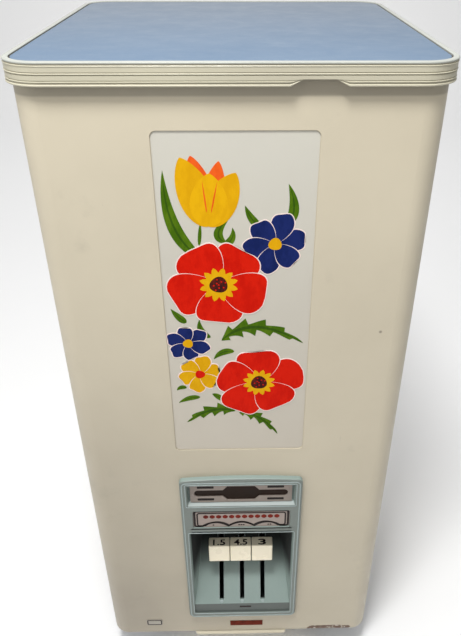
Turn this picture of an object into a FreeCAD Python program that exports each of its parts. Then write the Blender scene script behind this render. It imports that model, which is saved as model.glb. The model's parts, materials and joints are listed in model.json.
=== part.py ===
"""Rice storage box with a measuring dispenser, as a parametric document.

Frame: millimetres, +Z up, front of the box faces -Y, +X to the right.
The origin lies on the floor, below the centre of the lid.
Each sub-part is one labelled object; its label names the STEP file it is written to.
"""
import FreeCAD, Part
import math
import os
import re

import Sketcher

DOC = FreeCAD.newDocument("rice_box")
SHEET = DOC.addObject("Spreadsheet::Sheet", "Sheet")
NODES = []

# ---------------------------------------------------------------- driving dimensions
DIMENSIONS = {
    # cabinet
    "body_half_width": 170.0,
    "body_half_depth": 180.0,
    "body_low": 50.0,
    "body_top": 764.0,
    "body_radius": 21.0,
    "wall": 1.2,
    # debossed picture panel on the front
    "panel_left": -66.0,
    "panel_right": 69.5,
    "panel_low": 383.0,
    "panel_high": 724.0,
    "panel_radius": 5.0,
    "panel_depth": 1.0,
    # openings in the sheet
    "cutout_left": -61.0,
    "cutout_right": 67.0,
    "cutout_low": 96.0,
    "cutout_high": 337.0,
    "cutout_radius": 2.0,
    "hatch_half_width": 135.0,
    "hatch_low": 90.0,
    "hatch_high": 700.0,
    "cover_half_width": 147.0,
    "cover_low": 76.0,
    "cover_high": 714.0,
    # lid
    "lid_half_width": 176.25,
    "lid_half_depth": 186.5,
    "lid_radius": 32.0,
    "lid_low": 758.0,
    "lid_high": 776.0,
    "trim_wall": 3.0,
    "bead_width": 5.2,
    "bead_low": 774.4,
    "board_low": 766.6,
    "sheet_high": 775.2,
    "fit_gap": 0.25,
    "notch_left": 43.3,
    "notch_right": 88.0,
    "notch_slope": 10.3,
    "notch_rise": 5.5,
    "skirt_end": 166.0,
    # hinges
    "hinge_y": 183.0,
    "hinge_z": 764.0,
    "knuckle": 2.6,
    "pin_radius": 1.1,
    "pin_bore": 1.16,
    "leaf": 1.2,
    "hinge_place": 105.0,
    "hinge_half": 30.0,
    "knuckle_gap": 0.4,
    # dispenser moulding
    "unit_centre": 3.0,
    "unit_half": 68.5,
    "unit_low": 89.5,
    "unit_high": 341.0,
    "unit_arch": 3.0,
    "unit_top_radius": 5.0,
    "unit_front": -186.0,
    "unit_radius": 8.0,
    "unit_wall": 2.4,
    "opening_half": 61.0,
    "opening_low": 99.0,
    "opening_high": 255.0,
    "band_front": -184.0,
    "plate_foot": 115.4,
    "plate_lean": 32.6,
    "recess_back": -126.0,
    "recess_taper": 13.0,
    "recess_high": 247.0,
    "window_low": 301.0,
    "window_high": 334.0,
    "window_back": -177.0,
    "lens_half": 53.5,
    "lens_thick": 0.9,
    "long_slot_half": 53.0,
    "long_slot_high": 4.9,
    "wide_slot_high": 10.9,
    "wide_slot_half": 20.5,
    "wide_slot_flat": 15.5,
    "slit_half": 9.3,
    "slit_high": 1.3,
    "slit_rise": 9.6,
    "name_half": 56.0,
    "name_low": 264.0,
    "name_high": 293.0,
    "name_back": -183.4,
    # levers
    "shaft_y": -55.0,
    "shaft_z": 112.0,
    "shaft_radius": 5.0,
    "shaft_bore": 5.05,
    "hub_radius": 9.0,
    "key_pitch": 26.3,
    "key_half": 12.65,
    "key_offset": -1.3,
    "key_radius": 1.2,
    "key_edge": 0.9,
    "key_front": -175.0,
    "key_back": -161.0,
    "key_low": 189.8,
    "key_high": 217.0,
    "arm_half": 2.0,
    "arm_height": 9.0,
    "slot_half": 2.75,
    "slot_foot": 122.0,
    "slot_head": 196.0,
    # measuring chambers
    "case_front": -38.6,
    "case_back": 52.0,
    "case_wall": 1.6,
    "low_arc": 62.0,
    "high_arc": 148.0,
    "gate": 2.0,
    "gate_gap": 0.6,
    "chamber_small": 37.5,
    "chamber_half_large": 56.25,
    "chamber_middle": 75.0,
    "web_gap": 2.8,
    "web_half": 1.2,
    # hopper
    "neck_left": -98.4,
    "neck_right": 141.9,
    "hopper_top": 402.0,
    "hopper_neck": 272.0,
    "hopper_wall": 1.6,
    "chute_wall": 1.5,
    "chute_half": 84.0,
    "chute_front": -24.0,
    "chute_back": 32.0,
    "chute_top_left": -96.0,
    "chute_top_right": 139.0,
    "chute_top_back": 46.0,
    # base
    "floor_low": 51.0,
    "floor_high": 52.2,
    "plinth_half": 118.0,
    "plinth_front": -140.0,
    "plinth_back": 152.0,
    "plinth_low": 6.0,
    "tray_centre": 0.6,
    "tray_half": 100.0,
    "tray_front": -146.0,
    "tray_back": 146.0,
    "tray_low": 9.5,
    "tray_high": 46.0,
    "tray_wall": 2.0,
    "lip_half": 60.3,
    "lip_front": -183.0,
    "lip_high": 48.5,
}


def fill_sheet():
    """Write every driving dimension to its own cell and give the cell its alias."""
    for row, (alias, value) in enumerate(DIMENSIONS.items(), start=1):
        SHEET.set(f"A{row}", alias)
        SHEET.set(f"B{row}", str(value))
        SHEET.setAlias(f"B{row}", alias)
    DOC.recompute()


def bound(text):
    """Return an expression with each dimension name pointing at the sheet."""
    return re.sub(r"[a-z][a-z_0-9]*", lambda found: "Sheet." + found.group(0), str(text))


def size(text):
    """Return the present number of an expression of dimension names."""
    value = SHEET.evalExpression(bound(text))
    return float(getattr(value, "Value", value))


def node(item, label):
    """Give a finished sub-part its own label and put it on the list of nodes."""
    item.Label = label
    NODES.append(item)
    return item


# ---------------------------------------------------------------- primitive shapes
def place(item, x, y, z, rotation=None):
    """Put an object at a point whose coordinates stay bound to the sheet."""
    if rotation is not None:
        item.Placement = FreeCAD.Placement(FreeCAD.Vector(), rotation)
    for axis, text in zip("xyz", (x, y, z)):
        item.setExpression(f"Placement.Base.{axis}", bound(text))


def box(name, x0, x1, y0, y1, z0, z1):
    """Make a box from its six faces."""
    item = DOC.addObject("Part::Box", name)
    item.setExpression("Length", bound(f"({x1})-({x0})"))
    item.setExpression("Width", bound(f"({y1})-({y0})"))
    item.setExpression("Height", bound(f"({z1})-({z0})"))
    place(item, x0, y0, z0)
    return item


def upright_cylinder(name, x, y, z0, z1, radius):
    """Make a cylinder that stands along Z."""
    item = DOC.addObject("Part::Cylinder", name)
    item.setExpression("Radius", bound(radius))
    item.setExpression("Height", bound(f"({z1})-({z0})"))
    place(item, x, y, z0)
    return item


def depth_cylinder(name, x, z, y0, y1, radius):
    """Make a cylinder that lies along Y."""
    item = DOC.addObject("Part::Cylinder", name)
    item.setExpression("Radius", bound(radius))
    item.setExpression("Height", bound(f"({y1})-({y0})"))
    place(item, x, y0, z, FreeCAD.Rotation(FreeCAD.Vector(1, 0, 0), -90))
    return item


def cross_cylinder(name, x0, x1, y, z, radius, start=0.0, sweep=360.0):
    """Make a cylinder, or a slice of one, that lies along X; angles run from +Y to +Z."""
    item = DOC.addObject("Part::Cylinder", name)
    item.setExpression("Radius", bound(radius))
    item.setExpression("Height", bound(f"({x1})-({x0})"))
    item.Angle = sweep
    turn = FreeCAD.Rotation(FreeCAD.Vector(0, 0, 1), start)
    cycle = FreeCAD.Rotation(FreeCAD.Vector(1, 1, 1), 120)
    place(item, x0, y, z, cycle.multiply(turn))
    return item


def taper(name, front, back, y0, y1):
    """Make a box that narrows along Y; front and back are (x0, x1, z0, z1)."""
    item = DOC.addObject("Part::Wedge", name)
    names = ("Xmin", "Xmax", "Zmin", "Zmax")
    far_names = ("X2min", "X2max", "Z2min", "Z2max")
    for key, text in zip(names + far_names, front + back):
        item.setExpression(key, bound(text))
    item.setExpression("Ymin", bound(y0))
    item.setExpression("Ymax", bound(y1))
    return item


def fuse(name, items):
    """Join solids into one."""
    item = DOC.addObject("Part::MultiFuse", name)
    item.Shapes = items
    return item


def cut(name, base, tools):
    """Take one or more solids away from a solid."""
    item = DOC.addObject("Part::Cut", name)
    item.Base = base
    item.Tool = tools[0] if len(tools) == 1 else fuse(name + "_tools", tools)
    return item


def group(name, items):
    """Keep separate solids together in one object."""
    item = DOC.addObject("Part::Compound", name)
    item.Links = items
    return item


# ---------------------------------------------------------------- sketched bodies
def origin_plane(body, role):
    """Return one of a body's own origin planes."""
    return next(item for item in body.Origin.OriginFeatures if item.Role == role)


def new_sketch(body, name, role, offset):
    """Put an empty sketch on an origin plane of its body, shifted along the normal."""
    sketch = body.newObject("Sketcher::SketchObject", name)
    sketch.AttachmentSupport = [(origin_plane(body, role), "")]
    sketch.MapMode = "FlatFace"
    sketch.setExpression("AttachmentOffset.Base.z", bound(offset))
    return sketch


def rounded_rectangle(sketch, left, right, low, high, radius):
    """Draw a rectangle with round corners, its sides and radius bound to the sheet."""
    x0, x1, y0, y1, r = (size(text) for text in (left, right, low, high, radius))
    corners = ((x1 - r, y0 + r, 270), (x1 - r, y1 - r, 0), (x0 + r, y1 - r, 90), (x0 + r, y0 + r, 180))
    ends = (((x0 + r, y0), (x1 - r, y0)), ((x1, y0 + r), (x1, y1 - r)),
            ((x1 - r, y1), (x0 + r, y1)), ((x0, y1 - r), (x0, y0 + r)))
    lines = []
    arcs = []
    for (start, end), (cx, cy, angle) in zip(ends, corners):
        lines.append(sketch.addGeometry(Part.LineSegment(
            FreeCAD.Vector(*start, 0), FreeCAD.Vector(*end, 0)), False))
        circle = Part.Circle(FreeCAD.Vector(cx, cy, 0), FreeCAD.Vector(0, 0, 1), r)
        arcs.append(sketch.addGeometry(Part.ArcOfCircle(
            circle, math.radians(angle), math.radians(angle + 90)), False))
    for index in range(4):
        sketch.addConstraint(Sketcher.Constraint("Tangent", lines[index], 2, arcs[index], 1))
        sketch.addConstraint(Sketcher.Constraint("Tangent", arcs[index], 2, lines[(index + 1) % 4], 1))
    for index in range(1, 4):
        sketch.addConstraint(Sketcher.Constraint("Equal", arcs[0], arcs[index]))
    sketch.addConstraint(Sketcher.Constraint("Horizontal", lines[0]))
    sketch.addConstraint(Sketcher.Constraint("Vertical", lines[1]))
    driven = (("DistanceX", lines[3], left, x0), ("DistanceX", lines[1], right, x1),
              ("DistanceY", lines[0], low, y0), ("DistanceY", lines[2], high, y1))
    for kind, line, text, value in driven:
        number = sketch.addConstraint(Sketcher.Constraint(kind, -1, 1, line, 1, value))
        sketch.setExpression(f"Constraints[{number}]", bound(text))
    number = sketch.addConstraint(Sketcher.Constraint("Radius", arcs[0], r))
    sketch.setExpression(f"Constraints[{number}]", bound(radius))


def polygon(sketch, points):
    """Draw a closed outline through points given as pairs of expressions."""
    numbers = [(size(x), size(y)) for x, y in points]
    count = len(points)
    lines = [sketch.addGeometry(Part.LineSegment(
        FreeCAD.Vector(*numbers[index], 0), FreeCAD.Vector(*numbers[(index + 1) % count], 0)), False)
        for index in range(count)]
    for index in range(count):
        following = lines[(index + 1) % count]
        sketch.addConstraint(Sketcher.Constraint("Coincident", lines[index], 2, following, 1))
    for index, (x, y) in enumerate(points):
        for kind, text, value in (("DistanceX", x, numbers[index][0]), ("DistanceY", y, numbers[index][1])):
            number = sketch.addConstraint(Sketcher.Constraint(kind, -1, 1, lines[index], 1, value))
            sketch.setExpression(f"Constraints[{number}]", bound(text))


def add_pad(body, sketch, length):
    """Raise a sketch along its plane's normal."""
    pad = body.newObject("PartDesign::Pad", sketch.Name + "_pad")
    pad.Profile = sketch
    pad.setExpression("Length", bound(length))
    DOC.recompute()
    return pad


def add_pocket(body, sketch, length, reverse=True):
    """Sink a sketch into the body and make sure that it removed something."""
    before = body.Shape.Volume
    pocket = body.newObject("PartDesign::Pocket", sketch.Name + "_pocket")
    pocket.Profile = sketch
    pocket.Reversed = reverse
    pocket.setExpression("Length", bound(length))
    DOC.recompute()
    if body.Shape.Volume > before - 1e-3:
        raise RuntimeError(f"{sketch.Name} removed nothing")
    return pocket


def soften(body, chosen, radius):
    """Round the edges of a body whose bounding box passes the given test."""
    base = body.Tip
    edges = [f"Edge{number}" for number, edge in enumerate(base.Shape.Edges, start=1)
             if chosen(edge.BoundBox)]
    fillet = body.newObject("PartDesign::Fillet", body.Name + "_soft")
    fillet.Base = (base, edges)
    fillet.setExpression("Radius", bound(radius))
    DOC.recompute()


def rounded_block(name, left, right, front, back, low, high, radius):
    """Make a body: an upright block with rounded corners in plan."""
    body = DOC.addObject("PartDesign::Body", name)
    sketch = new_sketch(body, name + "_plan", "XY_Plane", low)
    rounded_rectangle(sketch, left, right, front, back, radius)
    add_pad(body, sketch, f"({high})-({low})")
    return body


def hollow_block(body, name, left, right, front, back, low, high, radius):
    """Pocket an upright rounded hole in a body from low to high."""
    sketch = new_sketch(body, name, "XY_Plane", low)
    rounded_rectangle(sketch, left, right, front, back, radius)
    add_pocket(body, sketch, f"({high})-({low})")


def side_profile(name, points, x0, x1):
    """Make a body from an outline in the YZ plane, from x0 to x1."""
    body = DOC.addObject("PartDesign::Body", name)
    sketch = new_sketch(body, name + "_outline", "YZ_Plane", x0)
    polygon(sketch, points)
    add_pad(body, sketch, f"({x1})-({x0})")
    return body


def front_tool(name, left, right, low, high, radius, front, back):
    """Make a body: a rounded rectangle in the XZ plane that reaches from front to back in Y."""
    body = DOC.addObject("PartDesign::Body", name)
    sketch = new_sketch(body, name + "_outline", "XZ_Plane", f"-({back})")
    rounded_rectangle(sketch, left, right, low, high, radius)
    add_pad(body, sketch, f"({back})-({front})")
    return body


# ---------------------------------------------------------------- cabinet
def make_cabinet_shell():
    """Wrapped sheet with the debossed panel, the dispenser cut-out and the rear hatch."""
    w, d, r = "body_half_width", "body_half_depth", "body_radius"
    body = rounded_block("shell_tube", f"-{w}", w, f"-{d}", d, "body_low", "body_top", r)
    hollow_block(body, "shell_inside", f"-{w}+wall", f"{w}-wall", f"-{d}+wall", f"{d}-wall",
                 "body_low", "body_top", f"{r}-wall")
    panel = ("panel_left", "panel_right", "panel_low", "panel_high", "panel_radius")
    backing = front_tool("panel_backing", "panel_left-wall", "panel_right+wall", "panel_low-wall",
                         "panel_high+wall", "panel_radius+wall", f"-{d}+panel_depth/2",
                         f"-{d}+wall+panel_depth")
    deboss = front_tool("panel_deboss", *panel, f"-{d}-5", f"-{d}+panel_depth")
    cutout = front_tool("dispenser_cutout", "cutout_left", "cutout_right", "cutout_low", "cutout_high",
                        "cutout_radius", f"-{d}-5", f"-{d}+5")
    hatch = front_tool("rear_hatch", "-hatch_half_width", "hatch_half_width", "hatch_low", "hatch_high",
                       "panel_radius", f"{d}-5", f"{d}+5")
    walls = fuse("shell_with_backing", [body, backing])
    node(cut("shell", walls, [deboss, cutout, hatch]), "cabinet_shell")


def make_back_panel():
    """Removable cover over the rear hatch, with its screws."""
    d = "body_half_depth"
    node(front_tool("back_cover", "-cover_half_width", "cover_half_width", "cover_low", "cover_high",
                    "panel_radius", d, f"{d}+0.8"), "back_panel")
    screws = []
    for side in (-1, 1):
        for level in ("cover_low+7", "(cover_low+cover_high)/2", "cover_high-7"):
            name = f"cover_screw_{side + 2}_{len(screws)}"
            screws.append(depth_cylinder(name, f"{side}*(cover_half_width-6)", level,
                                         f"{d}+0.8", f"{d}+2.6", 3.4))
    node(group("cover_screws", screws), "back_panel_screws")


def make_floor():
    """Bottom plate with the outlet through which the rice falls."""
    edge = "body_half_width-wall-0.1"
    deep = "body_half_depth-wall-0.1"
    plate = rounded_block("floor_plate", f"-({edge})", edge, f"-({deep})", deep,
                          "floor_low", "floor_high", "body_radius-wall")
    outlet = box("floor_outlet", -86, 86, -26, 34, "floor_low-1", "floor_high+1")
    node(cut("floor", plate, [outlet]), "bottom_plate")


def make_rim_collar():
    """Moulded collar around the filling mouth."""
    w = "body_half_width-wall-0.1"
    d = "body_half_depth-wall-0.1"
    collar = rounded_block("collar", f"-({w})", w, f"-({d})", d, "body_top-12", "body_top-0.4",
                           "body_radius-wall")
    hollow_block(collar, "collar_mouth", f"-({w})+18", f"{w}-18", f"-({d})+18", f"{d}-18",
                 "body_top-12", "body_top-0.4", "body_radius-3")
    node(collar, "rim_collar")


def make_hopper():
    """Sloping sheet funnel that leads the rice down to the measuring chambers."""
    neck = ("neck_left", "neck_right", "case_front", "case_back+2")
    top = ("-(body_half_width-wall-0.3)", "body_half_width-wall-0.3",
           "-(body_half_depth-wall-1.6)", "body_half_depth-wall-0.3")
    turn = FreeCAD.Rotation(FreeCAD.Vector(1, 0, 0), 90)

    def frustum(name, inset, low, high):
        item = DOC.addObject("Part::Wedge", name)
        pairs = (("Xmin", f"{neck[0]}+{inset}"), ("Xmax", f"{neck[1]}-{inset}"),
                 ("Zmin", f"-({neck[3]}-{inset})"), ("Zmax", f"-({neck[2]}+{inset})"),
                 ("X2min", f"{top[0]}+{inset}"), ("X2max", f"{top[1]}-{inset}"),
                 ("Z2min", f"-({top[3]}-{inset})"), ("Z2max", f"-({top[2]}+{inset})"),
                 ("Ymin", low), ("Ymax", high))
        for key, text in pairs:
            item.setExpression(key, bound(text))
        item.Placement = FreeCAD.Placement(FreeCAD.Vector(), turn)
        return item

    funnel = cut("funnel_walls", frustum("hopper_out", "0", "hopper_neck", "hopper_top"),
                 [frustum("hopper_in", "hopper_wall", "hopper_neck-0.01", "hopper_top+0.01")])
    tube = box("neck_out", neck[0], neck[1], neck[2], neck[3], "shaft_z+100", "hopper_neck+0.2")
    hole = box("neck_in", f"{neck[0]}+hopper_wall", f"{neck[1]}-hopper_wall",
               f"{neck[2]}+hopper_wall", f"{neck[3]}-hopper_wall", "shaft_z", "hopper_neck+1")
    sweep = cross_cylinder("neck_sweep", -160, 160, "shaft_y", "shaft_z", "high_arc+gate+2*gate_gap+0.6")
    throat = cut("neck", tube, [hole, sweep])
    room = rounded_block("hopper_room", top[0], top[1], top[2], top[3], "shaft_z", "hopper_top",
                         "body_radius-wall")
    hopper = DOC.addObject("Part::Common", "hopper")
    hopper.Base = fuse("hopper_walls", [funnel, throat])
    hopper.Tool = room
    node(hopper, "hopper_funnel")


# ---------------------------------------------------------------- measuring chambers
def chamber_block(name, x0, x1, cells):
    """One block of measuring chambers, closed above and below by the lever gates."""
    slab = box(name + "_slab", x0, x1, "case_front", "case_back", "floor_high", "shaft_z+high_arc+10")
    ceiling = cross_cylinder(name + "_top", f"{x0}-1", f"{x1}+1", "shaft_y", "shaft_z", "high_arc")
    round_top = DOC.addObject("Part::Common", name + "_round")
    round_top.Base = slab
    round_top.Tool = ceiling
    tools = [cross_cylinder(name + "_low", f"{x0}-1", f"{x1}+1", "shaft_y", "shaft_z", "low_arc"),
             box(name + "_open", f"{x0}-1", f"{x1}+1", "case_front-1", "case_back-case_wall",
                 "floor_high-1", "shaft_z+20")]
    for index, (start, end) in enumerate(cells):
        tools.append(side_profile(f"{name}_cell_{index}", (
            ("case_front+case_wall", "shaft_z+19"),
            ("shaft_y+57", "shaft_z+19"),
            ("case_back-case_wall", "shaft_z+19+46"),
            ("case_back-case_wall", "shaft_z+high_arc+10"),
            ("case_front+case_wall", "shaft_z+high_arc+10")), start, end))
    under = side_profile(name + "_under", (
        ("shaft_y+30", "shaft_z+19.5"),
        ("shaft_y+58.5", "shaft_z+19.5"),
        ("case_back-case_wall", "shaft_z+19.5+43.4"),
        ("case_back-case_wall", "shaft_z-60"),
        ("shaft_y+30", "shaft_z-60")), f"{x0}-1", f"{x1}+1")
    tools.append(under)
    return cut(name, round_top, tools)


def make_chambers():
    """Three measures of rice: one block on each side of the middle lever's web."""
    left = "unit_centre-web_gap-case_wall"
    right = "unit_centre+web_gap+case_wall"
    left_split = f"{left}-chamber_half_large-case_wall"
    right_split = f"{right}+chamber_half_large+case_wall"
    left_end = f"{left_split}-chamber_small"
    right_end = f"{right_split}+chamber_middle"
    node(chamber_block("case_left", f"{left_end}-case_wall", "unit_centre-web_gap",
                       ((left_end, left_split), (f"{left}-chamber_half_large", left))),
         "measuring_case_left")
    node(chamber_block("case_right", "unit_centre+web_gap", f"{right_end}+case_wall",
                       ((right, f"{right}+chamber_half_large"), (right_split, right_end))),
         "measuring_case_right")


def make_outlet_chute():
    """Short funnel under the lower gates that drops the rice into the tray."""
    turn = FreeCAD.Rotation(FreeCAD.Vector(1, 0, 0), 90)
    parts = []
    for name, inset, grow in (("chute_out", "0", "0"), ("chute_in", "chute_wall", "0.01")):
        item = DOC.addObject("Part::Wedge", name)
        pairs = (("Xmin", f"-chute_half+{inset}"), ("Xmax", f"chute_half-{inset}"),
                 ("Zmin", f"-chute_back+{inset}"), ("Zmax", f"-chute_front-{inset}"),
                 ("X2min", f"chute_top_left+{inset}"), ("X2max", f"chute_top_right-{inset}"),
                 ("Z2min", f"-chute_top_back+{inset}"), ("Z2max", f"-chute_front-{inset}"),
                 ("Ymin", f"floor_high-{grow}"), ("Ymax", f"shaft_z+2+{grow}"))
        for key, text in pairs:
            item.setExpression(key, bound(text))
        item.Placement = FreeCAD.Placement(FreeCAD.Vector(), turn)
        parts.append(item)
    node(cut("chute", parts[0], [parts[1]]), "outlet_chute")


# ---------------------------------------------------------------- dispenser moulding
LEAN = math.tan(math.radians(DIMENSIONS["plate_lean"]))


def plate_y(level, shift="0"):
    """Expression for the Y of the leaning slot plate at a height."""
    return f"band_front+{LEAN:.5f}*({level}-plate_foot)+{shift}"


def below_plate(name, start, shift):
    """Block that fills everything under the leaning slot plate; start is its front edge."""
    return side_profile(name, start + (
        (plate_y("opening_high+30", shift), "opening_high+30"),
        ("recess_back+120", "opening_high+30"),
        ("recess_back+120", "opening_low-40"),
        ("band_front-10", "opening_low-40")), -90, 100)


def arched_flange():
    """Front frame of the unit: straight sides, a slightly arched top and round corners."""
    x0, x1 = "unit_centre-unit_half", "unit_centre+unit_half"
    body = DOC.addObject("PartDesign::Body", "unit_flange")
    sketch = new_sketch(body, "unit_flange_outline", "XZ_Plane", "body_half_depth")
    corners = ((x0, "unit_high"), (x0, "unit_low"), (x1, "unit_low"), (x1, "unit_high"))
    points = [FreeCAD.Vector(size(x), size(z), 0) for x, z in corners]
    crown = FreeCAD.Vector(size("unit_centre"), size("unit_high+unit_arch"), 0)
    lines = [sketch.addGeometry(Part.LineSegment(points[index], points[index + 1]), False)
             for index in range(3)]
    arc = sketch.addGeometry(Part.Arc(points[3], crown, points[0]), False)
    for first, second in ((0, 1), (1, 2)):
        sketch.addConstraint(Sketcher.Constraint("Coincident", lines[first], 2, lines[second], 1))
    sketch.addConstraint(Sketcher.Constraint("Coincident", lines[2], 2, arc, 1))
    sketch.addConstraint(Sketcher.Constraint("Coincident", arc, 2, lines[0], 1))
    ends = ((lines[0], 1), (lines[1], 1), (lines[2], 1), (lines[2], 2))
    for (line, end), (x, z), point in zip(ends, corners, points):
        for kind, text, value in (("DistanceX", x, point.x), ("DistanceY", z, point.y)):
            number = sketch.addConstraint(Sketcher.Constraint(kind, -1, 1, line, end, value))
            sketch.setExpression(f"Constraints[{number}]", bound(text))
    bend = "(unit_half*unit_half+unit_arch*unit_arch)/(2*unit_arch)"
    number = sketch.addConstraint(Sketcher.Constraint("Radius", arc, size(bend)))
    sketch.setExpression(f"Constraints[{number}]", bound(bend))
    add_pad(body, sketch, "-body_half_depth-unit_front")
    upright = size("-unit_front-body_half_depth") - 0.1
    soften(body, lambda bounds: bounds.YLength > upright and bounds.ZMax < size("unit_low") + 1,
           "unit_radius")
    soften(body, lambda bounds: bounds.YLength > upright and bounds.ZMin > size("unit_high") - 1,
           "unit_top_radius")
    soften(body, lambda bounds: bounds.YMax < size("unit_front") + 1e-3, 1.6)
    return body


def make_dispenser_bezel():
    """Moulded front unit: frame, window well, nameplate well, lever recess with its slots."""
    c = "unit_centre"
    face = "-body_half_depth"
    flange = arched_flange()
    head = box("unit_head", f"{c}-opening_half-2.4", f"{c}+opening_half+2.4", face, f"{face}+6",
               "opening_high", "cutout_high-1")
    half = "opening_half"
    outer = taper("recess_out", (f"{c}-{half}-2", f"{c}+{half}+2", "opening_low-2", "opening_high+1.4"),
                  (f"{c}-{half}+recess_taper-unit_wall", f"{c}+{half}-recess_taper+unit_wall",
                   "opening_low-2", "recess_high+unit_wall"), f"{face}-1", "recess_back+unit_wall")
    hood = cut("recess_hood", outer, [below_plate("under_outer", (
        ("band_front-10", "plate_foot-18"),
        ("band_front+unit_wall", "plate_foot-18"),
        ("band_front+unit_wall", "plate_foot-0.29*unit_wall")), "unit_wall*1.187")])
    inner = taper("recess_in", (f"{c}-{half}", f"{c}+{half}", "opening_low", "opening_high"),
                  (f"{c}-{half}+recess_taper", f"{c}+{half}-recess_taper", "opening_low", "recess_high"),
                  "unit_front-0.1", "recess_back")
    hollow = cut("recess_hollow", inner, [below_plate("under_inner", (
        ("band_front-10", "plate_foot"),
        ("band_front", "plate_foot")), "0")])
    step = front_tool("opening_step", f"{c}-{half}", f"{c}+{half}", "opening_low", "opening_high",
                      3, "unit_front-1", "band_front")
    window = taper("window_well", (f"{c}-{half}", f"{c}+{half}", "window_low", "window_high"),
                   (f"{c}-{half}+1.5", f"{c}+{half}-1.5", "window_low-1.6", "window_high-1.5"),
                   "unit_front-0.1", "window_back")
    name_well = front_tool("name_well", f"{c}-name_half", f"{c}+name_half", "name_low", "name_high",
                           2, "unit_front-1", "name_back")
    slit = front_tool("floor_slit", f"{c}-3.6", f"{c}+11.6", "107", "110.4", 1.2, "band_front-1",
                      "band_front+9")
    tools = [hollow, step, window, name_well, slit]
    for index in (-1, 0, 1):
        tools.append(side_profile(f"lever_slot_{index + 2}", (
            (plate_y("slot_foot", "-6"), "slot_foot"),
            (plate_y("slot_foot", "12"), "slot_foot-7"),
            (plate_y("slot_head", "12"), "slot_head-7"),
            (plate_y("slot_head", "-6"), "slot_head")),
            f"{c}+{index}*key_pitch-slot_half", f"{c}+{index}*key_pitch+slot_half"))
    node(cut("bezel", fuse("bezel_solid", [flange, head, hood]), tools), "dispenser_bezel")


def make_unit_plates():
    """Level window, its plate with the long slot, nameplate and label strips."""
    c = "unit_centre"
    face = "-body_half_depth"
    back = "window_back"
    lens = box("lens", f"{c}-lens_half", f"{c}+lens_half", f"{back}-lens_thick", back, "window_low+2.2",
               "window_high-7.4")
    node(lens, "level_lens")
    plate_rear = f"{back}-lens_thick"
    plate = box("window_strip", f"{c}-opening_half+3.4", f"{c}+opening_half-3.4", f"{back}-2.1",
                plate_rear, "window_low-0.2", "window_high-4.6")
    middle = "(window_low+window_high)/2-2.6"
    low, high = f"{middle}-long_slot_high", f"{middle}+long_slot_high"
    slot = front_tool("window_slot", f"{c}-long_slot_half", f"{c}+long_slot_half", low, high,
                      4.8, f"{back}-4", plate_rear)
    wide = DOC.addObject("PartDesign::Body", "window_wide")
    outline = new_sketch(wide, "window_wide_outline", "XZ_Plane", f"-({plate_rear})")
    foot, head = f"{middle}-wide_slot_high", f"{middle}+wide_slot_high"
    polygon(outline, ((f"{c}-wide_slot_half", low), (f"{c}-wide_slot_flat", foot),
                      (f"{c}+wide_slot_flat", foot), (f"{c}+wide_slot_half", low),
                      (f"{c}+wide_slot_half", high), (f"{c}+wide_slot_flat", head),
                      (f"{c}-wide_slot_flat", head), (f"{c}-wide_slot_half", high)))
    add_pad(wide, outline, "3.1")
    corners = ((-40, "+"), (39, "+"), (-40, "-"), (39, "-"))
    slits = [box(f"window_slit_{index}", f"{c}+({x})-slit_half", f"{c}+({x})+slit_half", f"{back}-4",
                 plate_rear, f"{middle}{way}slit_rise-slit_high", f"{middle}{way}slit_rise+slit_high")
             for index, (x, way) in enumerate(corners)]
    node(cut("window_face", plate, [slot, wide] + slits), "window_plate")
    node(front_tool("name_strip", f"{c}-name_half+0.3", f"{c}+name_half-0.3", "name_low+0.3",
                    "name_high-0.3", 1.7, "name_back-1.0", "name_back"), "nameplate")
    node(box("strip", -13.3, 29.7, f"{face}-0.5", face, 61.6, 71.6), "label_strip")
    node(front_tool("badge", -124, -103, 66, 78, 2.5, f"{face}-0.8", face), "blank_badge")


# ---------------------------------------------------------------- levers
REST_ANGLE = 141.2          # direction of the lever arm at rest, from +Y towards +Z
HIGH_GATE = (10.8, 39.4)    # start and sweep of the upper gate at rest
LOW_GATE = (18.0, 55.0)     # start and sweep of the lower gate at rest


def gate_shell(name, x0, x1, inner, outer, angles):
    """Curved gate around the shaft."""
    outside = cross_cylinder(name + "_out", x0, x1, "shaft_y", "shaft_z", outer, *angles)
    inside = cross_cylinder(name + "_in", f"{x0}-1", f"{x1}+1", "shaft_y", "shaft_z", inner)
    return cut(name, outside, [inside])


def arm_bar(name, x, length, half, height):
    """Bar that leaves the shaft along the direction that a lever has at rest."""
    rise = math.radians(180 - REST_ANGLE)
    turn = FreeCAD.Rotation(FreeCAD.Vector(1, 0, 0), REST_ANGLE - 180)
    item = DOC.addObject("Part::Box", name)
    item.Length = length
    item.setExpression("Width", bound(f"2*{half}"))
    item.setExpression("Height", bound(height))
    along = turn.multiply(FreeCAD.Rotation(FreeCAD.Vector(0, 0, 1), -90))
    place(item, f"{x}-{half}", f"shaft_y-{height}/2*{math.sin(rise):.5f}",
          f"shaft_z-{height}/2*{math.cos(rise):.5f}", along)
    return item


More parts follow.
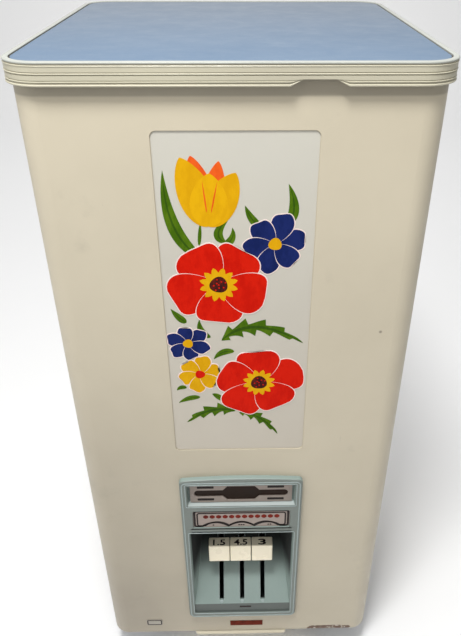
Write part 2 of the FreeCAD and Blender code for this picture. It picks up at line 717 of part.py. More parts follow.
def make_lever(tag, index, web_x, hub, gate):
    """One measuring lever: hub and arm, web with its two gates, and the key cap."""
    x = f"unit_centre+{index}*key_pitch"
    arm = arm_bar(f"arm_{tag}", x, 143, "arm_half", "arm_height")
    hub_tube = cross_cylinder(f"hub_{tag}", hub[0], hub[1], "shaft_y", "shaft_z", "hub_radius")
    web_low, web_high = f"{web_x}-web_half", f"{web_x}+web_half"
    spread = LOW_GATE[0] + LOW_GATE[1] - HIGH_GATE[0]
    low_web = cross_cylinder(f"web_{tag}", web_low, web_high, "shaft_y", "shaft_z",
                             "high_arc+gate_gap+gate", HIGH_GATE[0], spread)
    window = gate_shell(f"web_window_{tag}", f"{web_x}-3", f"{web_x}+3", "low_arc+14", "high_arc-16",
                        (HIGH_GATE[0] + 12.0, 38.0))
    bore = cross_cylinder(f"bore_{tag}", f"({hub[0]})-1", f"({hub[1]})+1", "shaft_y", "shaft_z",
                          "shaft_bore")
    solid = fuse(f"lever_solid_{tag}", [arm, hub_tube, low_web])
    node(cut(f"lever_{tag}", solid, [window, bore]), f"lever_arm_{tag}")
    upper = [gate_shell(f"upper_{tag}_{number}", start, end, "high_arc+gate_gap", "high_arc+gate_gap+gate",
                        HIGH_GATE) for number, (start, end) in enumerate(gate)]
    lower = [gate_shell(f"lower_{tag}_{number}", start, end, "low_arc-gate_gap-gate", "low_arc-gate_gap",
                        LOW_GATE) for number, (start, end) in enumerate(gate)]
    node(group(f"gates_{tag}", upper + lower), f"measuring_gates_{tag}")
    cap = rounded_block(f"cap_{tag}", f"{x}+key_offset-key_half", f"{x}+key_offset+key_half",
                        "key_front", "key_back", "key_low", "key_high", "key_radius")
    soften(cap, lambda bounds: bounds.ZMin > size("key_high") - 1e-3, "key_edge")
    socket = arm_bar(f"socket_{tag}", x, 143.1, "(arm_half+0.05)", "(arm_height+0.1)")
    node(cut(f"key_{tag}", cap, [socket]), f"key_cap_{tag}")


def make_levers():
    """Three levers on one shaft, their springs and the brackets that carry them."""
    left = "unit_centre-web_gap-case_wall"
    right = "unit_centre+web_gap+case_wall"
    left_end = f"{left}-chamber_half_large-case_wall-chamber_small-case_wall"
    right_end = f"{right}+chamber_half_large+case_wall+chamber_middle+case_wall"
    web_left = f"{left_end}-web_gap"
    web_right = f"{right_end}+web_gap"
    middle = "unit_centre"
    make_lever("1_5", -1, web_left, (f"{web_left}-web_half", "-19"),
               ((f"{web_left}+web_half", f"{left}-chamber_half_large-case_wall/2-0.4"),))
    make_lever("4_5", 0, middle, ("-9", "15"),
               ((f"{left}-chamber_half_large-case_wall/2+0.4", f"{middle}-web_half"),
                (f"{middle}+web_half", f"{right}+chamber_half_large+case_wall/2-0.4")))
    make_lever("3", 1, web_right, ("25", f"{web_right}+web_half"),
               ((f"{right}+chamber_half_large+case_wall/2+0.4", f"{web_right}-web_half"),))
    shaft_left = f"{web_left}-web_half-10"
    shaft_right = f"{web_right}+web_half+10"
    shaft = cross_cylinder("shaft", shaft_left, shaft_right, "shaft_y", "shaft_z", "shaft_radius")
    node(shaft, "lever_shaft")
    for side, inner in (("left", shaft_left), ("right", f"{shaft_right}-2")):
        plate = box(f"bracket_{side}", inner, f"{inner}+2", "shaft_y-20", "shaft_y+18",
                    "floor_high", "shaft_z+12")
        foot_x = (f"{inner}-14", f"{inner}+2") if side == "left" else (inner, f"{inner}+12")
        foot = box(f"bracket_foot_{side}", *foot_x, "shaft_y-20", "shaft_y+18", "floor_high", "floor_high+2")
        hole = cross_cylinder(f"bracket_hole_{side}", f"{inner}-1", f"{inner}+3", "shaft_y", "shaft_z",
                              "shaft_bore")
        node(cut(f"shaft_bracket_{side}", fuse(f"bracket_solid_{side}", [plate, foot]), [hole]),
             f"shaft_bracket_{side}")
    for tag, start in (("1_5", size(web_left) - 8.2), ("4_5", 16.9), ("3", size(web_right) + 2.4)):
        make_spring(tag, start)


def make_spring(tag, start):
    """Torsion spring: close-wound turns around the shaft with one leg down to the floor."""
    wire, radius, turns = 0.5, 6.6, 6
    rings = [Part.makeTorus(radius, wire, FreeCAD.Vector(0, 0, wire + 0.95 * 2 * wire * number))
             for number in range(turns)]
    leg = Part.makeCylinder(wire, size("shaft_z-floor_high") - 0.3,
                            FreeCAD.Vector(radius, 0, wire), FreeCAD.Vector(0, -1, 0))
    shape = rings[0].multiFuse(rings[1:] + [leg])
    item = DOC.addObject("Part::Feature", f"spring_{tag}")
    item.Shape = shape
    cycle = FreeCAD.Rotation(FreeCAD.Vector(1, 1, 1), 120)
    item.Placement = FreeCAD.Placement(
        FreeCAD.Vector(start, size("shaft_y"), size("shaft_z")), cycle)
    node(item, f"return_spring_{tag}")


# ---------------------------------------------------------------- lid
def make_lid():
    """Cream edge moulding, board, blue sheet and gasket."""
    w, d, r = "lid_half_width", "lid_half_depth", "lid_radius"
    t = "trim_wall"
    trim = rounded_block("trim", f"-{w}", w, f"-{d}", d, "lid_low", "lid_high", r)
    hollow_block(trim, "trim_inside", f"-{w}+{t}", f"{w}-{t}", f"-{d}+{t}", f"{d}-{t}",
                 "lid_low", "bead_low", f"{r}-{t}")
    hollow_block(trim, "trim_mouth", f"-{w}+bead_width", f"{w}-bead_width", f"-{d}+bead_width",
                 f"{d}-bead_width", "bead_low", "lid_high", f"{r}-bead_width")
    notch = DOC.addObject("PartDesign::Body", "finger_notch")
    outline = new_sketch(notch, "finger_notch_outline", "XZ_Plane", f"{d}-{t}-4")
    polygon(outline, (("notch_left", "lid_low-1"), ("notch_left", "lid_low"),
                      ("notch_left+notch_slope", "lid_low+notch_rise"),
                      ("notch_right-notch_slope", "lid_low+notch_rise"),
                      ("notch_right", "lid_low"), ("notch_right", "lid_low-1")))
    add_pad(notch, outline, "12")
    rear = box("rear_relief", f"-{w}-2", f"{w}+2", "skirt_end", f"{d}+2", "lid_low-1", "board_low")
    node(cut("lid_edge", trim, [notch, rear]), "lid_trim")
    g = "fit_gap"
    node(rounded_block("board", f"-{w}+{t}+{g}", f"{w}-{t}-{g}", f"-{d}+{t}+{g}", f"{d}-{t}-{g}",
                       "board_low", "bead_low", f"{r}-{t}"), "lid_board")
    node(rounded_block("blue_sheet", f"-{w}+bead_width+{g}", f"{w}-bead_width-{g}",
                       f"-{d}+bead_width+{g}", f"{d}-bead_width-{g}", "bead_low", "sheet_high",
                       f"{r}-bead_width"), "lid_top_sheet")
    seal = rounded_block("seal", -160, 160, -168, 152, "body_top", "board_low", 14)
    hollow_block(seal, "seal_inside", -153, 153, -161, 145, "body_top", "board_low", 9)
    node(seal, "lid_gasket")


def make_hinges():
    """Two butt hinges at the back: body leaves, lid leaves, pins and screws."""
    lid_screws = []
    body_screws = []
    for side, centre in (("left", "-hinge_place"), ("right", "hinge_place")):
        x0, x1 = f"{centre}-hinge_half", f"{centre}+hinge_half"
        split = (f"{centre}-hinge_half/3", f"{centre}+hinge_half/3")
        bore = cross_cylinder(f"hinge_bore_{side}", f"{x0}-1", f"{x1}+1", "hinge_y", "hinge_z", "pin_bore")
        knuckles = [cross_cylinder(f"body_knuckle_{side}_0", x0, f"{split[0]}-knuckle_gap", "hinge_y",
                                   "hinge_z", "knuckle"),
                    cross_cylinder(f"body_knuckle_{side}_1", f"{split[1]}+knuckle_gap", x1, "hinge_y",
                                   "hinge_z", "knuckle")]
        tall = box(f"body_leaf_{side}", x0, x1, "body_half_depth", "body_half_depth+leaf",
                   "hinge_z-28", "hinge_z-knuckle-0.4")
        lugs = [box(f"body_lug_{side}_{number}", start, end, "body_half_depth+0.2",
                    "body_half_depth+leaf+0.2", "hinge_z-knuckle-1.6", "hinge_z")
                for number, (start, end) in enumerate(((x0, f"{split[0]}-knuckle_gap"),
                                                       (f"{split[1]}+knuckle_gap", x1)))]
        node(cut(f"hinge_body_{side}", fuse(f"hinge_body_solid_{side}", knuckles + [tall] + lugs), [bore]),
             f"hinge_leaf_body_{side}")
        knuckle = cross_cylinder(f"lid_knuckle_{side}", split[0], split[1], "hinge_y", "hinge_z", "knuckle")
        flat = box(f"lid_leaf_{side}", x0, x1, "hinge_y-28", "hinge_y-knuckle-1.2", "board_low-leaf",
                   "board_low")
        lug = box(f"lid_lug_{side}", split[0], split[1], "hinge_y-knuckle-2.4", "hinge_y", "board_low-leaf",
                  "board_low")
        bore = cross_cylinder(f"lid_bore_{side}", f"{x0}-1", f"{x1}+1", "hinge_y", "hinge_z", "pin_bore")
        solid = fuse(f"hinge_lid_solid_{side}", [knuckle, flat, lug])
        node(cut(f"hinge_lid_{side}", solid, [bore]), f"hinge_leaf_lid_{side}")
        node(cross_cylinder(f"hinge_pin_{side}", x0, x1, "hinge_y", "hinge_z", "pin_radius"),
             f"hinge_pin_{side}")
        for number in (-1, 1):
            body_screws.append(depth_cylinder(f"body_screw_{side}_{number + 1}", f"{centre}+{number}*20",
                                              "hinge_z-16", "body_half_depth+leaf", "body_half_depth+leaf+1.6",
                                              3.2))
            lid_screws.append(upright_cylinder(f"lid_screw_{side}_{number + 1}", f"{centre}+{number}*20",
                                               "hinge_y-16", "board_low-leaf-0.5", "board_low-leaf", 3.0))
    node(group("body_screws", body_screws), "hinge_screws_body")
    node(group("lid_screws", lid_screws), "hinge_screws_lid")


# ---------------------------------------------------------------- base and tray
def make_base():
    """Recessed plinth, rubber feet and the rails that carry the tray."""
    w = "plinth_half"
    parts = []
    for side, sign in (("left", "-1"), ("right", "1")):
        web = (f"{sign}*{w}-0.8", f"{sign}*{w}+0.8")
        parts.append(box(f"plinth_web_{side}", *web, "plinth_front", "plinth_back", "plinth_low",
                         "floor_low"))
        for level, low in (("foot", "plinth_low"), ("head", "floor_low-1.6")):
            parts.append(box(f"plinth_flange_{side}_{level}", f"{sign}*{w}-11", f"{sign}*{w}+11",
                             "plinth_front", "plinth_back", low, f"{low}+1.6"))
    parts.append(box("plinth_rear", f"-{w}", w, "plinth_back-1.6", "plinth_back", "plinth_low",
                     "floor_low"))
    node(fuse("plinth", parts), "plinth_frame")
    feet = [upright_cylinder(f"foot_{index}", x, y, 0, "plinth_low", 10)
            for index, (x, y) in enumerate(((f"-{w}", "plinth_front+13"), (w, "plinth_front+13"),
                                            (f"-{w}", "plinth_back-13"), (w, "plinth_back-13")))]
    node(group("feet", feet), "rubber_feet")
    for side, sign in (("left", -1), ("right", 1)):
        outer = f"tray_centre+{sign}*(tray_half+2.2)"
        inner = f"tray_centre+{sign}*(tray_half+0.8)"
        shelf_end = f"tray_centre+{sign}*(tray_half-12)"
        pair = (outer, inner) if sign < 0 else (inner, outer)
        shelf = (outer, shelf_end) if sign < 0 else (shelf_end, outer)
        web = box(f"rail_web_{side}", *pair, "tray_front+2", "tray_back", "tray_low-1.7", "floor_low")
        ledge = box(f"rail_ledge_{side}", *shelf, "tray_front+2", "tray_back", "tray_low-1.7", "tray_low-0.3")
        node(fuse(f"rail_{side}", [web, ledge]), f"tray_rail_{side}")


def make_tray():
    """Receiving tray that slides out forwards, with its pull lip."""
    x0, x1 = "tray_centre-tray_half", "tray_centre+tray_half"
    tray = rounded_block("tray_body", x0, x1, "tray_front", "tray_back-2", "tray_low", "tray_high", 8)
    hollow_block(tray, "tray_inside", f"{x0}+tray_wall", f"{x1}-tray_wall", "tray_front+tray_wall",
                 "tray_back-2-tray_wall", "tray_low+tray_wall", "tray_high", 6)
    node(tray, "receiving_tray")
    lip = DOC.addObject("PartDesign::Body", "pull_lip")
    outline = new_sketch(lip, "pull_lip_plan", "XY_Plane", "tray_high")
    c = "tray_centre"
    polygon(outline, ((f"{c}-lip_half", "tray_front+6"), (f"{c}-lip_half", "lip_front+2.4"),
                      (f"{c}-lip_half+3", "lip_front"), (f"{c}+lip_half-3", "lip_front"),
                      (f"{c}+lip_half", "lip_front+2.4"), (f"{c}+lip_half", "tray_front+6")))
    add_pad(lip, outline, "lip_high-tray_high")
    node(lip, "tray_pull_lip")


# ---------------------------------------------------------------- output
def check_document():
    """Stop if any object failed or any sub-part is empty or invalid."""
    DOC.recompute()
    for item in DOC.Objects:
        if "Invalid" in item.State or "Error" in item.State:
            raise RuntimeError(f"{item.Name} failed: {item.State}")
    for item in NODES:
        if item.Shape.isNull() or not item.Shape.isValid() or not item.Shape.Solids:
            raise RuntimeError(f"{item.Label} has no valid solid")


def write_nodes():
    """Write each sub-part to its own STEP file."""
    os.makedirs("parts", exist_ok=True)
    for item in NODES:
        item.Shape.exportStep(f"parts/{item.Label}.step")
        bounds = item.Shape.BoundBox
        print(f"{item.Label}: {len(item.Shape.Solids)} solid(s), "
              f"x {bounds.XMin:.1f}..{bounds.XMax:.1f}  y {bounds.YMin:.1f}..{bounds.YMax:.1f}  "
              f"z {bounds.ZMin:.1f}..{bounds.ZMax:.1f}")


fill_sheet()
make_cabinet_shell()
make_back_panel()
make_floor()
make_rim_collar()
make_hopper()
make_chambers()
make_outlet_chute()
make_dispenser_bezel()
make_unit_plates()
make_levers()
make_lid()
make_hinges()
make_base()
make_tray()
check_document()
write_nodes()
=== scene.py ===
"""Rice storage box: detailed pieces, finishes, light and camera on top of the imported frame."""

import json
import logging
import math
from dataclasses import dataclass, field
from enum import Enum

import bmesh
import bpy
from mathutils import Euler, Matrix, Vector

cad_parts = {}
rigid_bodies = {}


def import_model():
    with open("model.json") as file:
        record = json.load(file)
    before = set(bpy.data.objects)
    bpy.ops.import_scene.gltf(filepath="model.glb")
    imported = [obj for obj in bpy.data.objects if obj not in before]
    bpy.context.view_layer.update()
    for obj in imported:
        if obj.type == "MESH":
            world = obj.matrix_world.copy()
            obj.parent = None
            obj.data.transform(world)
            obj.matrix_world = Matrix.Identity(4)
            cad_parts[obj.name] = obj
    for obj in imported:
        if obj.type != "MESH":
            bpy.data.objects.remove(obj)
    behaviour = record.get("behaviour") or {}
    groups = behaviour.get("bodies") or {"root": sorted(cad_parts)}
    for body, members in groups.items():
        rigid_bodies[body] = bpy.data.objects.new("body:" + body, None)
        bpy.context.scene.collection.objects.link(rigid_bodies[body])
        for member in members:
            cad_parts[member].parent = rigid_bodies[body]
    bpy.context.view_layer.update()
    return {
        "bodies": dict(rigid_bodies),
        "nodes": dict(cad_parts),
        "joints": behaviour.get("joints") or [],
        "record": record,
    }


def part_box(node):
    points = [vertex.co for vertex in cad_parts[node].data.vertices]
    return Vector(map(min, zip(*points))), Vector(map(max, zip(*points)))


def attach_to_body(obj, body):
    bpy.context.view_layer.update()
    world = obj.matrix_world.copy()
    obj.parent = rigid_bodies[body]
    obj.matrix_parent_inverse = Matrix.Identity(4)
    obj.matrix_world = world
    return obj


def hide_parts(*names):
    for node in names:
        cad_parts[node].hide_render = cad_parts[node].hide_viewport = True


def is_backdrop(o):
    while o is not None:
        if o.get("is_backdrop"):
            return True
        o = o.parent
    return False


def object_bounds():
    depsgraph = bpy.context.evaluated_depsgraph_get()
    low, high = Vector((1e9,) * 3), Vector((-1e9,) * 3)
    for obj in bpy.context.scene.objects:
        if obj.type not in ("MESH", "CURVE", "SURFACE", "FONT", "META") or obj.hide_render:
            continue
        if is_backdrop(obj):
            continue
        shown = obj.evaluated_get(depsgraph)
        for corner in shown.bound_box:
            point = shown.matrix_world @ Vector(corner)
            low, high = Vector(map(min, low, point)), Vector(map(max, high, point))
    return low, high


LOG = logging.getLogger("rice_box")
MM = 0.001
WELD = 1e-7
TEXT_DEPTH = 0.02
TEXT_BOLD = 0.022
Point = tuple[float, float]
Place = tuple[float, float, float]
Colour = tuple[float, float, float]


# ------------------------------------------------------------------ node wiring
class Graph:
    """Short calls for wiring the nodes of one material."""

    def __init__(self, name: str) -> None:
        """Start a material with only a Principled shader.

        Args:
            name: Name of the material.
        """
        self.material = bpy.data.materials.new(name)
        self.material.use_nodes = True
        self.tree = self.material.node_tree
        self.tree.nodes.clear()
        self.shader = self.tree.nodes.new("ShaderNodeBsdfPrincipled")
        output = self.tree.nodes.new("ShaderNodeOutputMaterial")
        self.tree.links.new(self.shader.outputs["BSDF"], output.inputs["Surface"])
        self.place = self.tree.nodes.new("ShaderNodeTexCoord").outputs["Object"]

    def link(self, source: bpy.types.NodeSocket, target: bpy.types.NodeSocket) -> None:
        """Join two sockets."""
        self.tree.links.new(source, target)

    def noise(self, scale: float, detail: float = 4.0, rough: float = 0.55,
              stretch: tuple[float, float, float] = (1.0, 1.0, 1.0)) -> bpy.types.NodeSocket:
        """Noise on object coordinates.

        Args:
            scale: Cells per metre.
            detail: Octaves.
            rough: Weight of the finer octaves.
            stretch: Factors on the three axes.

        Returns:
            The noise value, about 0 to 1.
        """
        mapping = self.tree.nodes.new("ShaderNodeMapping")
        mapping.inputs["Scale"].default_value = stretch
        self.link(self.place, mapping.inputs["Vector"])
        node = self.tree.nodes.new("ShaderNodeTexNoise")
        node.inputs["Scale"].default_value = scale
        node.inputs["Detail"].default_value = detail
        node.inputs["Roughness"].default_value = rough
        self.link(mapping.outputs["Vector"], node.inputs["Vector"])
        return node.outputs["Fac"]

    def speckle(self, scale: float) -> bpy.types.NodeSocket:
        """Distance to the nearest of many scattered points, scale points per metre."""
        node = self.tree.nodes.new("ShaderNodeTexVoronoi")
        node.inputs["Scale"].default_value = scale
        self.link(self.place, node.inputs["Vector"])
        return node.outputs["Distance"]

    def axis(self, name: str) -> bpy.types.NodeSocket:
        """One object coordinate in metres."""
        node = self.tree.nodes.new("ShaderNodeSeparateXYZ")
        self.link(self.place, node.inputs["Vector"])
        return node.outputs[name]

    def remap(self, value: bpy.types.NodeSocket, low: float, high: float, to_low: float = 0.0,
              to_high: float = 1.0, smooth: bool = False) -> bpy.types.NodeSocket:
        """Map a range to another, clamped.

        Args:
            value: Incoming number.
            low: Value that gives to_low.
            high: Value that gives to_high.
            to_low: Result at low.
            to_high: Result at high.
            smooth: Ease in and out.

        Returns:
            The mapped number.
        """
        node = self.tree.nodes.new("ShaderNodeMapRange")
        node.interpolation_type = "SMOOTHSTEP" if smooth else "LINEAR"
        self.link(value, node.inputs["Value"])
        for key, number in (("From Min", low), ("From Max", high), ("To Min", to_low), ("To Max", to_high)):
            node.inputs[key].default_value = number
        return node.outputs["Result"]

    def times(self, first: bpy.types.NodeSocket,
              second: "bpy.types.NodeSocket | float") -> bpy.types.NodeSocket:
        """Multiply two numbers."""
        node = self.tree.nodes.new("ShaderNodeMath")
        node.operation = "MULTIPLY"
        self.link(first, node.inputs[0])
        if isinstance(second, (int, float)):
            node.inputs[1].default_value = second
        else:
            self.link(second, node.inputs[1])
        return node.outputs[0]

    def band(self, name: str, low: float, high: float, soft: float) -> bpy.types.NodeSocket:
        """Mask that is 1 between two places on an axis.

        Args:
            name: X, Y or Z.
            low: Start in metres.
            high: End in metres.
            soft: Width of each fading edge.

        Returns:
            The mask.
        """
        place = self.axis(name)
        rising = self.remap(place, low - soft, low + soft, smooth=True)
        falling = self.remap(place, high - soft, high + soft, 1.0, 0.0, smooth=True)
        return self.times(rising, falling)

    def blend(self, fac: bpy.types.NodeSocket, first: "bpy.types.NodeSocket | Colour",
              second: "bpy.types.NodeSocket | Colour") -> bpy.types.NodeSocket:
        """Mix two colours.

        Args:
            fac: Share of the second colour.
            first: Socket or plain colour.
            second: Socket or plain colour.

        Returns:
            The mixed colour.
        """
        node = self.tree.nodes.new("ShaderNodeMix")
        node.data_type = "RGBA"
        self.link(fac, node.inputs["Factor"])
        for key, colour in ((6, first), (7, second)):
            if isinstance(colour, tuple):
                node.inputs[key].default_value = (*colour, 1.0)
            else:
                self.link(colour, node.inputs[key])
        return node.outputs[2]

    def colour(self, source: "bpy.types.NodeSocket | Colour") -> None:
        """Set the base colour."""
        if isinstance(source, tuple):
            self.shader.inputs["Base Color"].default_value = (*source, 1.0)
        else:
            self.link(source, self.shader.inputs["Base Color"])

    def rough(self, source: bpy.types.NodeSocket) -> None:
        """Set the roughness."""
        self.link(source, self.shader.inputs["Roughness"])

    def bump(self, height: bpy.types.NodeSocket, strength: float, depth: float) -> None:
        """Add a bump over what is there.

        Args:
            height: Height pattern.
            strength: 0 to 1.
            depth: Real depth in metres.
        """
        node = self.tree.nodes.new("ShaderNodeBump")
        node.inputs["Strength"].default_value = strength
        node.inputs["Distance"].default_value = depth
        self.link(height, node.inputs["Height"])
        if self.shader.inputs["Normal"].links:
            self.link(self.shader.inputs["Normal"].links[0].from_socket, node.inputs["Normal"])
        self.link(node.outputs["Normal"], self.shader.inputs["Normal"])

    def set(self, **values: float) -> None:
        """Set plain shader sockets, with underscores for the spaces in their names."""
        for key, number in values.items():
            self.shader.inputs[key.replace("_", " ")].default_value = number


# ------------------------------------------------------------------ finishes
@dataclass(frozen=True)
class Finish:
    """A finish: a base colour, a second colour it drifts to, gloss and surface grain."""

    name: str
    base: Colour
    drift: Colour
    roughness: float = 0.4
    grain: float = 900.0
    relief: float = 0.00002
    metallic: float = 0.0
    drift_scale: float = 9.0
    specular: float = 0.5

    def build(self) -> bpy.types.Material:
        """Make the material once and hand the same one back afterwards."""
        full_name = "rice_box_" + self.name
        known = bpy.data.materials.get(full_name)
        if known is not None:
            return known
        graph = Graph(full_name)
        graph.colour(self.paint(graph))
        patch = graph.noise(self.drift_scale * 4.0, 5.0, 0.6)
        graph.rough(graph.remap(patch, 0.25, 0.75, self.roughness * 0.8, min(1.0, self.roughness * 1.25)))
        graph.bump(graph.noise(self.grain, 2.0), 0.5, self.relief)
        graph.set(Metallic=self.metallic, Specular_IOR_Level=self.specular)
        self.extra(graph)
        return graph.material

    def paint(self, graph: Graph) -> bpy.types.NodeSocket:
        """Return the colour pattern."""
        return graph.blend(graph.remap(graph.noise(self.drift_scale), 0.35, 0.68), self.base, self.drift)

    def extra(self, graph: Graph) -> None:
        """Room for what only one finish has."""


@dataclass(frozen=True)
class CabinetPaint(Finish):
    """Baked beige enamel with soiling, fine scratches, nicks, a rusted patch at the foot, painted shade
    towards the lower left and a painted shadow under the lid.
    """

    # foot is the colour of the painted shade towards the lower left.
    foot: Colour = (0.33, 0.29, 0.225)
    soil: Colour = (0.27, 0.24, 0.19)
    scratched: Colour = (0.20, 0.18, 0.15)
    rubbed: Colour = (0.72, 0.70, 0.64)
    # Colour of the painted shadow under the lid.
    painted_lid_shadow: Colour = (0.16, 0.145, 0.115)
    nicked: Colour = (0.12, 0.09, 0.07)
    rust: Colour = (0.10, 0.045, 0.018)
    chalk: Colour = (0.62, 0.58, 0.50)

    def paint(self, graph: Graph) -> bpy.types.NodeSocket:
        """Enamel with painted shade towards the lower left and a painted shadow under the lid, with marks and
        rust.
        """
        colour = super().paint(graph)
        # Painted shade: the enamel darkens towards the foot and the left, as if less lit there.
        low = graph.remap(graph.axis("Z"), 0.66, 0.05, 0.0, 0.95, smooth=True)
        left = graph.remap(graph.axis("X"), 0.10, -0.15, 0.35, 1.15, smooth=True)
        shade = graph.times(graph.times(low, left), graph.remap(graph.noise(5.0, 3.0), 0.3, 0.7, 0.55, 1.0))
        colour = graph.blend(shade, colour, self.foot)
        smudge = graph.times(graph.remap(graph.noise(11.0, 6.0, 0.65), 0.60, 0.78),
                             graph.remap(graph.noise(60.0, 4.0), 0.4, 0.6))
        colour = graph.blend(graph.times(smudge, 0.35), colour, self.soil)
        scratch = graph.remap(graph.noise(26.0, 8.0, 0.75, (9.0, 1.0, 1.0)), 0.695, 0.715)
        colour = graph.blend(graph.times(scratch, 0.30), colour, self.scratched)
        sheer = graph.remap(graph.noise(24.0, 8.0, 0.75, (1.0, 1.0, 8.0)), 0.70, 0.72)
        colour = graph.blend(graph.times(sheer, 0.35), colour, self.rubbed)
        # Painted shadow of the lid's overhang: a dark band just below the lid.
        shaded = graph.band("Z", 0.7500, 0.7700, 0.0012)
        colour = graph.blend(graph.times(shaded, 0.50), colour, self.painted_lid_shadow)
        nick = graph.times(graph.remap(graph.speckle(26.0), 0.055, 0.03),
                           graph.remap(graph.noise(7.0, 1.0), 0.60, 0.64))
        colour = graph.blend(nick, colour, self.nicked)
        return graph.blend(self.rust_mask(graph), colour, self.rusted(graph))

    def rusted(self, graph: Graph) -> bpy.types.NodeSocket:
        """Dark rust with bare, chalky spots."""
        spots = graph.remap(graph.noise(260.0, 3.0), 0.56, 0.62)
        return graph.blend(spots, self.rust, self.chalk)

    @staticmethod
    def rust_mask(graph: Graph) -> bpy.types.NodeSocket:
        """Where the enamel has come off along the front edge of the foot."""
        area = graph.times(graph.band("X", 0.090, 0.147, 0.006), graph.band("Z", 0.0, 0.0560, 0.0045))
        front = graph.remap(graph.axis("Y"), -0.168, -0.174)
        ragged = graph.remap(graph.noise(120.0, 4.0, 0.7), 0.30, 0.62, 0.45, 1.5)
        return graph.remap(graph.times(graph.times(area, front), ragged), 0.36, 0.46)

    def extra(self, graph: Graph) -> None:
        """Orange-peel waviness of sprayed enamel."""
        graph.bump(graph.noise(150.0, 2.0), 0.35, 0.00012)


@dataclass(frozen=True)
class UnitPlastic(Finish):
    """Grey-blue moulding with painted shade on its front faces, along the foot of the recess and in the depth
    of the lever recess, and a painted highlight on its ledge.
    """

    # Colour of the painted shade on the forward faces of the unit.
    painted_front_shade: Colour = (0.125, 0.128, 0.112)
    # foot is the colour of the painted shade along the foot of the recess.
    foot: Colour = (0.050, 0.055, 0.050)
    painted_ledge_highlight: Colour = (0.520, 0.570, 0.560)
    # Colour of the painted shade deep in the lever recess.
    painted_recess_shade: Colour = (0.006, 0.008, 0.007)
    face_at: Point = (-0.1848, -0.1856)
    foot_from: Point = (0.090, 0.1154)
    ledge_from: Point = (0.2985, 0.3012)

    def paint(self, graph: Graph) -> bpy.types.NodeSocket:
        """Plain moulding colour with painted shade on the front and along the foot, a painted highlight on
        the ledge and painted shade in the depths.
        """
        colour = super().paint(graph)
        # Painted shade: the forward faces are darkened as if they caught less of the light from above.
        front = graph.remap(graph.axis("Y"), *self.face_at)
        colour = graph.blend(graph.times(front, 0.62), colour, self.painted_front_shade)
        # Painted shade along the foot of the recess, below the slot plate.
        inside = graph.remap(graph.axis("Y"), -0.1856, -0.1850)
        foot = graph.times(graph.band("Z", *self.foot_from, 0.0003), inside)
        colour = graph.blend(graph.times(foot, 0.80), colour, self.foot)
        # Painted highlight along the ledge below the window.
        ledge = graph.times(graph.band("Z", *self.ledge_from, 0.0002), inside)
        colour = graph.blend(graph.times(ledge, 0.80), colour, self.painted_ledge_highlight)
        # Painted shade: the upper part of the lever recess is made nearly black.
        return graph.blend(graph.times(self.deep(graph), 0.98), colour, self.painted_recess_shade)

    @staticmethod
    def deep(graph: Graph) -> bpy.types.NodeSocket:
        """How far a place lies in the upper part of the lever recess, where shade is painted."""
        return graph.times(graph.remap(graph.axis("Z"), 0.146, 0.192, smooth=True),
                           graph.times(graph.remap(graph.axis("Y"), -0.1835, -0.1790),
                                       graph.remap(graph.axis("Z"), 0.262, 0.256)))

    def extra(self, graph: Graph) -> None:
        """Dust takes the gloss off the depths."""
        graph.rough(graph.remap(self.deep(graph), 0.0, 0.6, self.roughness, 0.95))


@dataclass(frozen=True)
class PanelFilm(Finish):
    """White film, darker and yellower towards its foot, and finely scratched."""

    ivory: Colour = (0.500, 0.445, 0.365)
    scratched: Colour = (0.25, 0.23, 0.20)

    def paint(self, graph: Graph) -> bpy.types.NodeSocket:
        """White that turns ivory lower down, with short grey scratches."""
        colour = super().paint(graph)
        # Darker and yellower towards the foot.
        low = graph.remap(graph.axis("Z"), 0.70, 0.39, 0.0, 0.75)
        colour = graph.blend(low, colour, self.ivory)
        scratch = graph.remap(graph.noise(40.0, 8.0, 0.75, (6.0, 1.0, 1.0)), 0.69, 0.71)
        return graph.blend(graph.times(scratch, 0.4), colour, self.scratched)


@dataclass(frozen=True)
class Laminate(Finish):
    """Blue sheet with a painted sheen towards the back, streaky wear and fine cross-wise scuffs."""

    painted_back_sheen: Colour = (0.222, 0.233, 0.250)
    worn: Colour = (0.17, 0.215, 0.27)
    rubbed: Colour = (0.25, 0.30, 0.36)
    scuffed: Colour = (0.075, 0.100, 0.140)
    spotted: Colour = (0.05, 0.07, 0.11)

    def paint(self, graph: Graph) -> bpy.types.NodeSocket:
        """Blue with a painted sheen that makes it paler and greyer at the back, with scuffs along X."""
        colour = super().paint(graph)
        # Painted sheen: paler, greyer blue towards the back, where the sheet is seen at a low angle.
        back = graph.remap(graph.axis("Y"), -0.15, 0.18, 0.0, 0.55)
        colour = graph.blend(back, colour, self.painted_back_sheen)
        streak = graph.remap(graph.noise(30.0, 8.0, 0.7, (1.0, 7.0, 1.0)), 0.50, 0.66)
        colour = graph.blend(graph.times(streak, 0.28), colour, self.worn)
        fine = graph.remap(graph.noise(70.0, 6.0, 0.8, (1.0, 14.0, 1.0)), 0.60, 0.66)
        colour = graph.blend(graph.times(fine, 0.55), colour, self.rubbed)
        scuff = graph.remap(graph.noise(110.0, 6.0, 0.8, (1.0, 9.0, 1.0)), 0.655, 0.69)
        colour = graph.blend(graph.times(scuff, 0.50), colour, self.scuffed)
        spot = graph.times(graph.remap(graph.speckle(38.0), 0.06, 0.035),
                           graph.remap(graph.noise(9.0, 1.0), 0.56, 0.6))
        return graph.blend(spot, colour, self.spotted)


@dataclass(frozen=True)
class Print(Finish):
    """Screen-printed ink with soft, uneven coverage."""

    def paint(self, graph: Graph) -> bpy.types.NodeSocket:
        """Two tones of ink laid on in short strokes."""
        stroke = graph.noise(120.0, 5.0, 0.65, (1.0, 1.0, 0.45))
        return graph.blend(graph.remap(stroke, 0.44, 0.62), self.base, self.drift)


@dataclass(frozen=True)
class Clear(Finish):
    """Milky see-through plastic."""

    def extra(self, graph: Graph) -> None:
        """Let some light through."""
        graph.set(Transmission_Weight=0.55, IOR=1.49)


